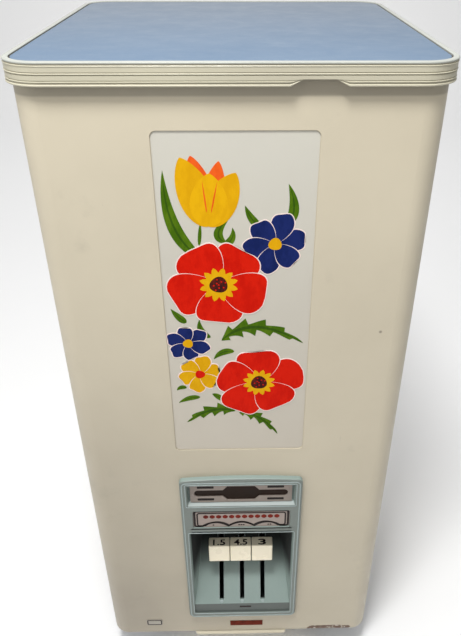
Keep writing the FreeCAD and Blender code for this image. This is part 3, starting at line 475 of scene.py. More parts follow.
class Finishes(Enum):
    """Every finish on the box."""

    CABINET = CabinetPaint("cabinet_enamel", (0.580, 0.520, 0.395), (0.545, 0.487, 0.368), 0.42, 700.0)
    PANEL = PanelFilm("panel_white", (0.565, 0.545, 0.475), (0.535, 0.515, 0.448), 0.42, 900.0,
                      drift_scale=6.0)
    LID_EDGE = Finish("lid_edge_cream", (0.510, 0.480, 0.365), (0.470, 0.440, 0.335), 0.38, 1200.0)
    LID_BEAD = Finish("lid_bead_cream", (0.375, 0.385, 0.350), (0.340, 0.350, 0.318), 0.42, 1200.0,
                      specular=0.2)
    BLUE = Laminate("blue_laminate", (0.105, 0.155, 0.225), (0.118, 0.168, 0.238), 0.50, 1500.0,
                    specular=0.08)
    UNIT = UnitPlastic("unit_grey_blue", (0.225, 0.286, 0.262), (0.248, 0.310, 0.285), 0.42, 1600.0,
                       0.00003)
    # Painted highlight: a lighter copy of the unit's moulding for its raised beads, ribs, slot borders and
    # bosses.
    UNIT_EDGE = Finish("unit_edge_highlight", (0.320, 0.385, 0.375), (0.280, 0.340, 0.330), 0.36, 1600.0)
    TAUPE = Finish("taupe_plate", (0.330, 0.268, 0.232), (0.290, 0.235, 0.205), 0.42, 1400.0)
    SMOKED = Finish("smoked_lens", (0.017, 0.009, 0.005), (0.036, 0.010, 0.005), 0.35, 600.0, specular=0.12)
    INK = Finish("dark_ink", (0.016, 0.010, 0.009), (0.026, 0.018, 0.016), 0.50, 1200.0, specular=0.2)
    KEY = Finish("key_cream", (0.930, 0.850, 0.660), (0.900, 0.815, 0.620), 0.28, 1500.0, 0.00001)
    LIP = Finish("lip_cream", (0.620, 0.570, 0.440), (0.560, 0.510, 0.390), 0.42, 1500.0, 0.00001)
    LABEL = Finish("label_red", (0.170, 0.022, 0.010), (0.090, 0.012, 0.006), 0.55, 900.0,
                   drift_scale=160.0, specular=0.05)
    BADGE = Finish("badge_plain", (0.44, 0.41, 0.36), (0.36, 0.335, 0.29), 0.34, 800.0, metallic=0.7)
    ZINC = Finish("zinc_plate", (0.55, 0.56, 0.56), (0.42, 0.43, 0.44), 0.36, 1800.0, metallic=1.0)
    GALVANISED = Finish("galvanised_sheet", (0.50, 0.52, 0.53), (0.40, 0.42, 0.44), 0.42, 500.0,
                        metallic=0.9, drift_scale=55.0)
    STEEL = Finish("plain_steel", (0.44, 0.44, 0.45), (0.35, 0.35, 0.36), 0.34, 2200.0, metallic=1.0)
    CORE = Finish("fibre_board", (0.060, 0.045, 0.035), (0.040, 0.030, 0.024), 0.9, 1500.0, 0.0001)
    RUBBER = Finish("black_rubber", (0.018, 0.018, 0.018), (0.030, 0.030, 0.030), 0.75, 1500.0, 0.00005)
    PLINTH = Finish("plinth_black", (0.022, 0.022, 0.024), (0.034, 0.034, 0.036), 0.5, 900.0)
    MOULDED = Finish("moulded_cream", (0.80, 0.74, 0.60), (0.76, 0.69, 0.55), 0.38, 1400.0)
    CASE = Clear("milky_plastic", (0.72, 0.73, 0.70), (0.66, 0.67, 0.65), 0.25, 1400.0)
    RED = Print("ink_red", (0.620, 0.011, 0.002), (0.540, 0.007, 0.001), 0.50, 1200.0, specular=0.05)
    GRAIN_RED = Print("ink_grain_red", (0.200, 0.022, 0.014), (0.110, 0.018, 0.014), 0.50, 1200.0,
                      specular=0.05)
    HALO = Print("ink_pale_pink", (0.800, 0.640, 0.600), (0.780, 0.660, 0.620), 0.50, 1200.0)
    YELLOW = Print("ink_yellow", (0.640, 0.325, 0.003), (0.690, 0.365, 0.004), 0.50, 1200.0, specular=0.05)
    GOLD = Print("ink_gold", (0.720, 0.390, 0.004), (0.660, 0.340, 0.003), 0.50, 1200.0, specular=0.05)
    ORANGE = Print("ink_orange", (0.760, 0.110, 0.014), (0.680, 0.075, 0.010), 0.50, 1200.0, specular=0.05)
    NAVY = Print("ink_navy", (0.010, 0.020, 0.115), (0.006, 0.014, 0.085), 0.50, 1200.0, specular=0.05)
    GREEN = Print("ink_green", (0.050, 0.118, 0.003), (0.085, 0.165, 0.006), 0.50, 1200.0, specular=0.05)
    GREEN_DARK = Print("ink_dark_green", (0.030, 0.075, 0.004), (0.040, 0.095, 0.005), 0.50, 1200.0,
                       specular=0.05)
    SEED = Print("ink_brown", (0.110, 0.012, 0.008), (0.014, 0.008, 0.008), 0.50, 1200.0, specular=0.05)

    def get(self) -> bpy.types.Material:
        """Return the finish's material."""
        return self.value.build()


# ------------------------------------------------------------------ mesh helpers
def mesh_object(name: str, mesh: bpy.types.Mesh, finishes: list[Finishes]) -> bpy.types.Object:
    """Make an object at the origin from a finished mesh.

    Args:
        name: Name of the piece.
        mesh: Its mesh, in place.
        finishes: One finish per material slot.

    Returns:
        The new object.
    """
    piece = bpy.data.objects.new(name, mesh)
    bpy.context.scene.collection.objects.link(piece)
    for finish in finishes:
        mesh.materials.append(finish.get())
    return piece


def clean(shape: bmesh.types.BMesh) -> None:
    """Weld doubled vertices and turn the normals outwards."""
    bmesh.ops.remove_doubles(shape, verts=shape.verts, dist=WELD)
    bmesh.ops.recalc_face_normals(shape, faces=shape.faces)


def bridge(shape: bmesh.types.BMesh, rings: list[list[bmesh.types.BMVert]]) -> None:
    """Join each closed ring of vertices to the next with quads."""
    for first, second in zip(rings, rings[1:]):
        for i in range(len(first)):
            j = (i + 1) % len(first)
            shape.faces.new((first[i], first[j], second[j], second[i]))


def cap(shape: bmesh.types.BMesh, rings: list[list[bmesh.types.BMVert]]) -> None:
    """Close the last and the first ring with a face each."""
    shape.faces.new(rings[-1])
    shape.faces.new(list(reversed(rings[0])))


def from_bmesh(name: str, shape: bmesh.types.BMesh, finishes: list[Finishes],
               smooth: bool = False) -> bpy.types.Object:
    """Turn a bmesh into an object with outward normals.

    Args:
        name: Name of the piece.
        shape: Finished bmesh, freed here.
        finishes: One finish per material slot.
        smooth: Shade smooth.

    Returns:
        The new object.
    """
    clean(shape)
    mesh = bpy.data.meshes.new(name)
    shape.to_mesh(mesh)
    shape.free()
    for polygon in mesh.polygons:
        polygon.use_smooth = smooth
    return mesh_object(name, mesh, finishes)


def apply_modifiers(piece: bpy.types.Object) -> bpy.types.Object:
    """Bake an object's modifiers into its mesh."""
    graph = bpy.context.evaluated_depsgraph_get()
    mesh = bpy.data.meshes.new_from_object(piece.evaluated_get(graph))
    piece.modifiers.clear()
    piece.data = mesh
    return piece


def attach(piece: bpy.types.Object, body: str, slot: str, *nodes: str) -> bpy.types.Object:
    """Let a piece ride on a body and hide the CAD nodes it stands for.

    Args:
        piece: The finished piece.
        body: Name of the body it moves with.
        slot: Not used.
        *nodes: CAD nodes that it replaces.

    Returns:
        The same piece.
    """
    if nodes:
        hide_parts(*nodes)
    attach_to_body(piece, body)
    LOG.info("%s rides on %s", piece.name, body)
    return piece


def rounded_loop(x0: float, x1: float, y0: float, y1: float, radius: float, steps: int) -> list[Point]:
    """Corner-rounded rectangle, anticlockwise.

    Args:
        x0: Left side.
        x1: Right side.
        y0: Low side.
        y1: High side.
        radius: Corner radius.
        steps: Points per corner.

    Returns:
        The outline's points.
    """
    loop = []
    centres = ((x1 - radius, y0 + radius, -90), (x1 - radius, y1 - radius, 0),
               (x0 + radius, y1 - radius, 90), (x0 + radius, y0 + radius, 180))
    for cx, cy, start in centres:
        for step in range(steps + 1):
            angle = math.radians(start + 90 * step / steps)
            loop.append((cx + radius * math.cos(angle), cy + radius * math.sin(angle)))
    return loop


def plate(name: str, outline: list[Point], front: float, back: float, finishes: list[Finishes],
          bevel: float = 0.0) -> bpy.types.Object:
    """Flat piece in the XZ plane.

    Args:
        name: Name of the piece.
        outline: Outer outline as (x, z).
        front: Y of the front face.
        back: Y of the back face.
        finishes: One finish per material slot.
        bevel: Width of a bevel on its front edges.

    Returns:
        The new object.
    """
    curve = bpy.data.curves.new(name, "CURVE")
    curve.dimensions = "2D"
    curve.fill_mode = "BOTH"
    curve.extrude = (back - front) / 2
    spline = curve.splines.new("POLY")
    spline.points.add(len(outline) - 1)
    for point, (x, z) in zip(spline.points, outline):
        point.co = (x, z, 0.0, 1.0)
    spline.use_cyclic_u = True
    holder = bpy.data.objects.new(name + "_curve", curve)
    bpy.context.scene.collection.objects.link(holder)
    bpy.context.view_layer.update()
    mesh = bpy.data.meshes.new_from_object(holder.evaluated_get(bpy.context.evaluated_depsgraph_get()))
    bpy.data.objects.remove(holder)
    stand = Matrix.Translation((0, (front + back) / 2, 0)) @ Matrix.Rotation(math.radians(90), 4, "X")
    mesh.transform(stand)
    shape = bmesh.new()
    shape.from_mesh(mesh)
    piece = from_bmesh(name, shape, finishes)
    if bevel > 0:
        modifier = piece.modifiers.new("Bevel", "BEVEL")
        modifier.width = bevel
        modifier.segments = 2
        modifier.limit_method = "ANGLE"
        apply_modifiers(piece)
    return piece


def join(name: str, pieces: list[bpy.types.Object]) -> bpy.types.Object:
    """Join several objects into one mesh object with the given name."""
    shape = bmesh.new()
    materials: list[bpy.types.Material] = []
    for piece in pieces:
        offset = []
        for material in piece.data.materials:
            if material not in materials:
                materials.append(material)
            offset.append(materials.index(material))
        start = len(shape.faces)
        shape.from_mesh(piece.data)
        shape.faces.ensure_lookup_table()
        for face in shape.faces[start:]:
            face.material_index = offset[face.material_index] if offset else 0
        bpy.data.objects.remove(piece)
    mesh = bpy.data.meshes.new(name)
    shape.to_mesh(mesh)
    shape.free()
    for material in materials:
        mesh.materials.append(material)
    joined = bpy.data.objects.new(name, mesh)
    bpy.context.scene.collection.objects.link(joined)
    return joined


def text_piece(name: str, words: str, width: float, height: float, depth: float,
               place: Matrix) -> bpy.types.Object:
    """Raised numerals of a given size.

    Args:
        name: Name of the piece.
        words: The numerals.
        width: Width over all.
        height: Height over all.
        depth: How far they stand up.
        place: Where their middle goes.

    Returns:
        The new object.
    """
    curve = bpy.data.curves.new(name, "FONT")
    curve.body = words
    curve.extrude = TEXT_DEPTH
    curve.offset = TEXT_BOLD
    curve.resolution_u = 3
    holder = bpy.data.objects.new(name + "_text", curve)
    bpy.context.scene.collection.objects.link(holder)
    bpy.context.view_layer.update()
    mesh = bpy.data.meshes.new_from_object(holder.evaluated_get(bpy.context.evaluated_depsgraph_get()))
    bpy.data.objects.remove(holder)
    low = [min(v.co[i] for v in mesh.vertices) for i in range(3)]
    high = [max(v.co[i] for v in mesh.vertices) for i in range(3)]
    size = (width, height, depth)
    scale = Matrix.Diagonal([size[i] / (high[i] - low[i]) for i in range(3)] + [1.0])
    centre = Matrix.Translation([-(low[i] + high[i]) / 2 for i in range(3)])
    mesh.transform(place @ scale @ centre)
    mesh.materials.clear()
    shape = bmesh.new()
    shape.from_mesh(mesh)
    return from_bmesh(name, shape, [Finishes.INK])


def islands(node: bpy.types.Object) -> list[tuple[Vector, Vector]]:
    """Boxes of the separate solids of a CAD node.

    Args:
        node: The CAD node's object.

    Returns:
        Lowest and highest corner of each solid.
    """
    shape = bmesh.new()
    shape.from_mesh(node.data)
    bmesh.ops.remove_doubles(shape, verts=shape.verts, dist=1e-6)
    left = set(shape.verts)
    found = []
    while left:
        front = [left.pop()]
        low, high = front[0].co.copy(), front[0].co.copy()
        while front:
            vertex = front.pop()
            for i in range(3):
                low[i] = min(low[i], vertex.co[i])
                high[i] = max(high[i], vertex.co[i])
            for edge in vertex.link_edges:
                other = edge.other_vert(vertex)
                if other in left:
                    left.discard(other)
                    front.append(other)
        found.append((low, high))
    shape.free()
    return sorted(found, key=lambda pair: tuple(round(value, 5) for value in pair[0]))


# ------------------------------------------------------------------ geometry nodes
class Growth:
    """A geometry node tree with named inputs, baked into a plain mesh at the end."""

    def __init__(self, name: str, **sizes: float) -> None:
        """Start a tree.

        Args:
            name: Name of the tree.
            **sizes: Named inputs and their values; whole numbers become integer inputs.
        """
        self.tree = bpy.data.node_groups.new(name, "GeometryNodeTree")
        self.sizes = sizes
        self.tree.interface.new_socket("Geometry", in_out="INPUT", socket_type="NodeSocketGeometry")
        for key, value in sizes.items():
            kind = "NodeSocketInt" if isinstance(value, int) else "NodeSocketFloat"
            self.tree.interface.new_socket(key, in_out="INPUT", socket_type=kind)
        self.tree.interface.new_socket("Geometry", in_out="OUTPUT", socket_type="NodeSocketGeometry")
        self.inlet = self.tree.nodes.new("NodeGroupInput")
        self.outlet = self.tree.nodes.new("NodeGroupOutput")

    def add(self, kind: str, **values: object) -> bpy.types.Node:
        """Add a node and fill its inputs.

        Args:
            kind: Node type.
            **values: Input names, with underscores for spaces, and either a plain value or a socket.

        Returns:
            The node.
        """
        node = self.tree.nodes.new(kind)
        for key, value in values.items():
            target = node.inputs[key.replace("_", " ")]
            if isinstance(value, bpy.types.NodeSocket):
                self.link(value, target)
            else:
                target.default_value = value
        return node

    def link(self, source: bpy.types.NodeSocket, target: bpy.types.NodeSocket) -> None:
        """Join two sockets."""
        self.tree.links.new(source, target)

    def size(self, key: str) -> bpy.types.NodeSocket:
        """Return a named input of the tree."""
        return self.inlet.outputs[key]

    def sum(self, *sockets: bpy.types.NodeSocket) -> bpy.types.NodeSocket:
        """Join several geometries."""
        node = self.tree.nodes.new("GeometryNodeJoinGeometry")
        for socket in sockets:
            self.link(socket, node.inputs[0])
        return node.outputs[0]

    def bake(self, piece: bpy.types.Object, last: bpy.types.NodeSocket,
             finish: Finishes) -> bpy.types.Object:
        """Close the tree, run it on an object and keep the plain mesh.

        Args:
            piece: Object whose mesh feeds the tree.
            last: Final geometry socket.
            finish: Finish of the result.

        Returns:
            The same object with the finished mesh.
        """
        real = self.add("GeometryNodeRealizeInstances", Geometry=last)
        coat = self.add("GeometryNodeSetMaterial", Geometry=real.outputs[0])
        coat.inputs["Material"].default_value = finish.get()
        self.link(coat.outputs[0], self.outlet.inputs[0])
        modifier = piece.modifiers.new("Growth", "NODES")
        modifier.node_group = self.tree
        for item in self.tree.interface.items_tree:
            if item.in_out == "INPUT" and item.name in self.sizes:
                modifier[item.identifier] = self.sizes[item.name]
        bpy.context.view_layer.update()
        apply_modifiers(piece)
        shape = bmesh.new()
        shape.from_mesh(piece.data)
        clean(shape)
        shape.to_mesh(piece.data)
        shape.free()
        return piece


def repeat_in_row(piece: bpy.types.Object, count: int, step: Place,
                  finish: Finishes) -> bpy.types.Object:
    """Repeat a piece's mesh in a straight row.

    Args:
        piece: First of the row, in its place.
        count: How many in all.
        step: From one to the next.
        finish: Finish of the row.

    Returns:
        The object holding the whole row.
    """
    growth = Growth(piece.name + "_row", Count=count, Step_X=step[0], Step_Y=step[1], Step_Z=step[2])
    offset = growth.add("ShaderNodeCombineXYZ", X=growth.size("Step_X"), Y=growth.size("Step_Y"),
                        Z=growth.size("Step_Z"))
    line = growth.add("GeometryNodeMeshLine", Count=growth.size("Count"), Offset=offset.outputs[0])
    stamp = growth.add("GeometryNodeInstanceOnPoints", Points=line.outputs[0],
                       Instance=growth.inlet.outputs["Geometry"])
    return growth.bake(piece, stamp.outputs[0], finish)


@dataclass
class ScrewSet:
    """Cross-head screws standing where a CAD node has its plain ones."""

    node: str
    body: str
    facing: Place
    head_share: float = 0.45
    head_height: float = 1.5 * MM
    crown: float = 0.74
    cross: tuple[float, float] = (1.15, 0.26)
    shank: float = 0.5

    def build(self, nodes: dict) -> bpy.types.Object:
        """Grow a screw on every solid of the node.

        Args:
            nodes: The frame's nodes by name.

        Returns:
            The finished screws.
        """
        boxes = islands(nodes[self.node])
        axis = max(range(3), key=lambda i: abs(self.facing[i]))
        outward = 1 if self.facing[axis] > 0 else -1
        seats = []
        for low, high in boxes:
            seat = (low + high) / 2
            seat[axis] = high[axis] if outward > 0 else low[axis]
            seats.append(seat)
        low, high = boxes[0]
        across = (axis + 1) % 3
        radius = (high[across] - low[across]) / 2
        length = high[axis] - low[axis]
        mesh = bpy.data.meshes.new(self.node)
        mesh.from_pydata([tuple(seat) for seat in seats], [], [])
        piece = mesh_object("detailed_" + self.node, mesh, [])
        turn = Vector(self.facing).to_track_quat("Z", "Y").to_euler()
        self.grow(piece, radius, min(self.head_height, length * self.head_share), length, turn)
        return attach(piece, self.body, "zinc_screw", self.node)

    def grow(self, piece: bpy.types.Object, radius: float, head: float, length: float,
             turn: Euler) -> None:
        """Run the tree that makes head, recess and shank.

        Args:
            piece: Object whose vertices are the seats.
            radius: Radius of the head.
            head: Height of the head.
            length: Over-all length.
            turn: Euler angles that point the head outwards.
        """
        growth = Growth(self.node + "_tree", Radius=radius, Head=head, Length=length, Seed=7)
        dome = growth.add("GeometryNodeMeshCone", Vertices=20, Depth=growth.size("Head"))
        narrow = growth.add("ShaderNodeMath", Value=growth.size("Radius"))
        narrow.operation = "MULTIPLY"
        narrow.inputs[1].default_value = self.crown
        growth.link(narrow.outputs[0], dome.inputs["Radius Top"])
        growth.link(growth.size("Radius"), dome.inputs["Radius Bottom"])
        drop = growth.add("GeometryNodeTransform", Geometry=dome.outputs[0],
                          Translation=(0.0, 0.0, -head))
        bars = []
        for wide, deep in (self.cross, self.cross[::-1]):
            bar = growth.add("GeometryNodeMeshCube", Size=(wide * radius, deep * radius, head))
            bars.append(growth.add("GeometryNodeTransform", Geometry=bar.outputs[0],
                                   Translation=(0.0, 0.0, head * 0.02)).outputs[0])
        recess = growth.tree.nodes.new("GeometryNodeMeshBoolean")
        recess.operation = "DIFFERENCE"
        growth.link(drop.outputs[0], recess.inputs[0])
        for bar in bars:
            growth.link(bar, recess.inputs[1])
        shank = growth.add("GeometryNodeMeshCylinder", Vertices=12, Radius=radius * self.shank,
                           Depth=(length - head) * 0.98)
        below = growth.add("GeometryNodeTransform", Geometry=shank.outputs[0],
                           Translation=(0.0, 0.0, -head - (length - head) / 2))
        screw = growth.sum(recess.outputs[0], below.outputs[0])
        aim = growth.add("FunctionNodeEulerToRotation", Euler=tuple(turn))
        stamp = growth.add("GeometryNodeInstanceOnPoints", Points=growth.inlet.outputs["Geometry"],
                           Instance=screw, Rotation=aim.outputs[0])
        chance = growth.tree.nodes.new("FunctionNodeRandomValue")
        chance.data_type = "FLOAT"
        chance.inputs[3].default_value = math.pi
        growth.link(growth.size("Seed"), chance.inputs["Seed"])
        spin = growth.add("ShaderNodeCombineXYZ", Z=chance.outputs[1])
        spun = growth.add("FunctionNodeEulerToRotation", Euler=spin.outputs[0])
        turned = growth.add("GeometryNodeRotateInstances", Instances=stamp.outputs[0],
                            Rotation=spun.outputs[0])
        growth.bake(piece, turned.outputs[0], Finishes.ZINC)


# ------------------------------------------------------------------ lid
@dataclass
class Lid:
    """Ribbed edge moulding and blue sheet of the lid."""

    corner: float = 32.0 * MM
    notch: tuple[float, float] = (43.3 * MM, 88.0 * MM)
    slope: float = 10.3 * MM
    rise: float = 5.5 * MM
    skirt_end: float = 166.0 * MM
    skirt_floor: float = 766.6 * MM
    seam: float = 1.3 * MM
    bead: float = 5.0 * MM
    bead_high: float = 1.7 * MM
    rounding: tuple[Point, ...] = ((0.0, 0.35 * MM), (0.12 * MM, 0.12 * MM), (0.4 * MM, 0.0))
    ribs: tuple[Point, ...] = (
        (5.0, 1.55), (5.0, 0.45), (4.6, 0.1), (4.2, 0.0), (1.6, 0.0), (0.7, 0.2), (0.15, 0.7), (0.1, 1.3),
        (0.5, 1.8), (1.0, 1.95), (1.0, 2.5), (0.35, 2.8), (0.1, 3.1), (0.35, 3.45), (0.5, 3.6),
        (0.5, 7.5), (1.1, 7.7), (1.1, 8.1), (0.3, 8.4), (0.1, 8.7), (0.3, 9.05), (1.1, 9.4), (1.1, 9.8),
        (0.5, 10.1), (0.5, 13.3), (1.1, 13.5), (1.1, 13.85), (0.3, 14.1), (0.15, 14.4), (0.3, 14.75),
        (1.2, 15.1), (1.2, 15.9), (0.3, 16.25), (0.0, 16.8), (0.1, 17.4), (0.6, 17.9), (1.3, 18.0),
        (3.0, 18.0), (3.0, 1.55))

    def build(self) -> None:
        """Make the edge and the sheet."""
        attach(self.edge(), "lid", "lid_cream", "lid_trim")
        attach(self.sheet(), "lid", "blue_laminate", "lid_top_sheet")

    def stations(self, half_x: float, half_y: float) -> list[tuple[float, float, float, float]]:
        """Places along the edge as outer point and inward direction, with the notch corners among them."""
        marks = [self.notch[0], self.notch[0] + self.slope, self.notch[1] - self.slope, self.notch[1]]
        straight = sorted([-half_x + self.corner, -0.05, 0.0, half_x - self.corner] + marks)
        found = [(x, -half_y, 0.0, 1.0) for x in straight]
        at_skirt = math.degrees(math.asin((self.skirt_end - (half_y - self.corner)) / self.corner))
        for turn_x, turn_y, start in ((1, -1, -90), (1, 1, 0), (-1, 1, 90), (-1, -1, 180)):
            angles = [start + 90 * step / 12 for step in range(13)]
            if turn_y > 0:
                mark = at_skirt if turn_x > 0 else 180 - at_skirt
                angles = sorted(angles + [mark - 0.02, mark + 0.02])
            for angle in angles:
                c, s = math.cos(math.radians(angle)), math.sin(math.radians(angle))
                found.append((turn_x * (half_x - self.corner) + self.corner * c,
                              turn_y * (half_y - self.corner) + self.corner * s, -c, -s))
        unique = []
        for place in found:
            if not unique or math.dist(place[:2], unique[-1][:2]) > 2e-6:
                unique.append(place)
        return unique[:-1] if math.dist(unique[0][:2], unique[-1][:2]) < 2e-6 else unique

    def floor_at(self, x: float, y: float) -> float:
        """Height the bottom of the edge is lifted to at a place."""
        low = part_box("lid_trim")[0][2]
        if y > self.skirt_end:
            return self.skirt_floor
        if y > 0:
            return low
        up = min((x - self.notch[0]) / self.slope, (self.notch[1] - x) / self.slope, 1.0)
        return low + max(0.0, up) * self.rise

    def edge(self) -> bpy.types.Object:
        """Sweep the ribbed section round the lid."""
        low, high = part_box("lid_trim")
        shape = bmesh.new()
        rings = []
        for x, y, inward_x, inward_y in self.stations(high[0], high[1]):
            ring, deepest = [], 0.0
            bottom = self.floor_at(x, y)
            for inset, drop in self.ribs:
                level = high[2] - drop * MM
                if level < bottom:
                    level = bottom
                    deepest = max(deepest, inset)
                    inset = deepest
                ring.append(shape.verts.new((x + inward_x * inset * MM, y + inward_y * inset * MM, level)))
            rings.append(ring)
        bridge(shape, rings + rings[:1])
        bmesh.ops.dissolve_degenerate(shape, edges=shape.edges, dist=WELD)
        piece = from_bmesh("lid_ribbed_edge", shape, [Finishes.LID_EDGE, Finishes.LID_BEAD])
        for polygon in piece.data.polygons:
            polygon.material_index = 1 if polygon.center.z > high[2] - self.bead_high else 0
        return piece

    def sheet(self) -> bpy.types.Object:
        """Blue sheet with a softened edge, a little short of the moulding."""
        low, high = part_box("lid_trim")
        inset = self.bead + self.seam
        top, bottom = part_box("lid_top_sheet")[1][2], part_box("lid_top_sheet")[0][2]
        shape = bmesh.new()
        rings = []
        for grow, drop in ((0.0, top - bottom),) + self.rounding:
            loop = rounded_loop(low[0] + inset + grow, high[0] - inset - grow, low[1] + inset + grow,
                                high[1] - inset - grow, self.corner - inset - grow, 12)
            rings.append([shape.verts.new((x, y, top - drop)) for x, y in loop])
        bridge(shape, rings)
        cap(shape, rings)
        return from_bmesh("lid_blue_sheet", shape, [Finishes.BLUE])


# ------------------------------------------------------------------ picture panel
@dataclass(frozen=True)
class Leaf:
    """A leaf drawn along a bent spine, in millimetres."""

    root: Point
    bend: Point
    tip: Point
    width: float
    lobes: int = 0


@dataclass(frozen=True)
class Bloom:
    """A flower of equal petals round a middle, in millimetres."""

    centre: Point
    petals: int
    reach: float
    width: float
    turn: float
    ink: Finishes
    heart: float
    heart_ink: Finishes
    toothed: bool = False
    seed: float = 0.0
    pointed: bool = False
    squash: float = 1.0
    gap: float = 0.8
    ripple: float = 1.2


@dataclass
class PicturePanel:
    """Off-white film in the debossed panel with a plain flower print."""

    sides: Point = (-66.0 * MM, 69.5 * MM)
    ends: Point = (383.0 * MM, 724.0 * MM)
    recess: float = 1.0 * MM
    gap: float = 0.5 * MM
    corner: float = 4.6 * MM
    film: float = 0.2 * MM
    ink: float = 0.03 * MM
    step: float = 0.0035 * MM
    layer: int = 0
    vein_share: float = 0.16
    leaves: tuple[Leaf, ...] = (
        Leaf((-29, 612), (-60, 632), (-58, 692), 12.0),
        Leaf((-8, 627), (-22, 634), (-4, 650), 8.0),
        Leaf((-18, 620), (2, 626), (-2, 641), 7.0),
        Leaf((24, 640), (14, 646), (9, 661), 7.0),
        Leaf((44, 643), (56, 654), (45, 680), 9.0),
        Leaf((-46, 545), (-52, 548), (-60, 560), 7.0),
        Leaf((-24, 528), (-36, 532), (-34, 548), 7.0),
        Leaf((-14, 524), (14, 556), (64, 520), 20.0, 5),
        Leaf((-2, 511), (-14, 514), (-22, 502), 7.0),
        Leaf((-50, 467), (-56, 470), (-60, 464), 5.0),
        Leaf((-37, 455), (-48, 456), (-59, 448), 6.0),
        Leaf((-13, 449), (-20, 458), (-25, 459), 6.0),
        Leaf((-2, 436), (-26, 446), (-52, 422), 17.0, 4),
        Leaf((2, 434), (24, 434), (42, 404), 14.0, 4))
    tulip: Point = (-22.0, 643.0)
    tulip_stem: Leaf = Leaf((-31.0, 624.0), (-30.0, 634.0), (-29.0, 647.0), 3.2)
    tulip_petals: tuple[tuple[float, float, float, Finishes], ...] = (
        (102, 62, 24, Finishes.ORANGE), (80, 57, 20, Finishes.ORANGE),
        (110, 63, 30, Finishes.YELLOW), (63, 52, 28, Finishes.YELLOW),
        (88, 46, 32, Finishes.GOLD))
    tulip_creases: tuple[float, ...] = (96, 78)
    seeds: int = 9
    blooms: tuple[Bloom, ...] = (
        Bloom((35, 625), 6, 27.5, 20.0, 12.0, Finishes.NAVY, 5.8, Finishes.YELLOW, pointed=True),
        Bloom((-46, 521), 6, 19.5, 14.5, 40.0, Finishes.NAVY, 4.8, Finishes.YELLOW, pointed=True),
        Bloom((-36, 484), 6, 20.5, 16.0, 18.0, Finishes.YELLOW, 4.8, Finishes.RED),
        Bloom((-15, 585), 5, 42.5, 43.0, 54.0, Finishes.RED, 12.5, Finishes.GOLD, True, 8.2),
        Bloom((22, 473), 5, 42.0, 42.0, 20.0, Finishes.RED, 11.5, Finishes.GOLD, True, 8.0,
              squash=0.92))

    def build(self) -> None:
        """Lay the film and print on it."""
        low, high = self.opening()
        film = plate("picture_film", rounded_loop(low[0], high[0], low[1], high[1], self.corner, 8),
                     self.face(), self.back(), [Finishes.PANEL], bevel=0.06 * MM)
        attach(film, "cabinet", "cabinet_paint")
        prints = bmesh.new()
        inks: list[Finishes] = []
        for leaf in self.leaves:
            self.draw_leaf(prints, inks, leaf)
        self.draw_tulip(prints, inks)
        for bloom in self.blooms:
            self.draw_bloom(prints, inks, bloom)
        attach(from_bmesh("flower_print", prints, inks), "cabinet", "cabinet_paint")

    def opening(self) -> tuple[Point, Point]:
        """Corners of the film as (x, z)."""
        (left, right), (foot, head) = self.sides, self.ends
        return (left + self.gap, foot + self.gap), (right - self.gap, head - self.gap)

    def back(self) -> float:
        """Y of the floor of the recess."""
        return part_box("cabinet_shell")[0][1] + self.recess

    def face(self) -> float:
        """Y of the film's face."""
        return self.back() - self.film

    def slab(self, shape: bmesh.types.BMesh, inks: list[Finishes], loop: list[Point], ink: Finishes,
             middle: "Point | None" = None) -> None:
        """Lay one closed patch of ink over the earlier ones.

        Args:
            shape: Bmesh of the print.
            inks: Inks used so far.
            loop: Outline in millimetres, starting at the foot, with the tip half way round.
            ink: Ink of the patch.
            middle: Point that the patch fans out from, where it isn't a strip between two sides.
        """
        if ink not in inks:
            inks.append(ink)
        self.layer += 1
        levels = (self.face() - self.ink - self.layer * self.step, self.face() + 0.02 * MM)
        rings = [[shape.verts.new((x * MM, level, z * MM)) for x, z in loop] for level in levels]
        made = []
        count = len(loop)
        for ring, level in zip(rings, levels):
            if middle is not None:
                hub = shape.verts.new((middle[0] * MM, level, middle[1] * MM))
                made += [shape.faces.new((hub, ring[i], ring[(i + 1) % count])) for i in range(count)]
                continue
            made.append(shape.faces.new((ring[0], ring[1], ring[-1])))
            for i in range(1, count // 2 - 1):
                made.append(shape.faces.new((ring[i], ring[i + 1], ring[count - i - 1], ring[count - i])))
            half = count // 2
            made.append(shape.faces.new((ring[half - 1], ring[half], ring[half + 1])))
        for i in range(count):
            j = (i + 1) % count
            made.append(shape.faces.new((rings[0][i], rings[1][i], rings[1][j], rings[0][j])))
        for face in made:
            face.material_index = inks.index(ink)

    @staticmethod
    def petal(centre: Point, angle: float, start: float, reach: float, width: float,
              blunt: tuple[float, float], ripple: float = 0.0, squash: float = 1.0) -> list[Point]:
        """Outline of one petal.

        Args:
            centre: Middle of the flower.
            angle: Direction in degrees.
            start: Distance of the petal's foot from the middle.
            reach: Distance of its tip.
            width: Widest part.
            blunt: Two powers, for the foot and the tip.
            ripple: Waviness of the tip.
            squash: Flattening of the whole flower.

        Returns:
            The outline.
        """
        foot, tip = blunt
        peak = foot / (foot + tip)
        c, s = math.cos(math.radians(angle)), math.sin(math.radians(angle))
        steps = 20
        loop = []
        for side in (1, -1):
            order = range(steps + 1) if side > 0 else range(steps - 1, 0, -1)
            for i in order:
                t = 0.5 - 0.5 * math.cos(math.pi * i / steps)
                half = width / 2 * (t / peak) ** foot * ((1 - t) / (1 - peak)) ** tip
                wave = ripple * math.sin(2.4 * side * half / width * math.pi + angle) * t * t
                along = start + (reach - start) * t + wave
                loop.append((centre[0] + along * c - side * half * s,
                             centre[1] + (along * s + side * half * c) * squash))
        return loop

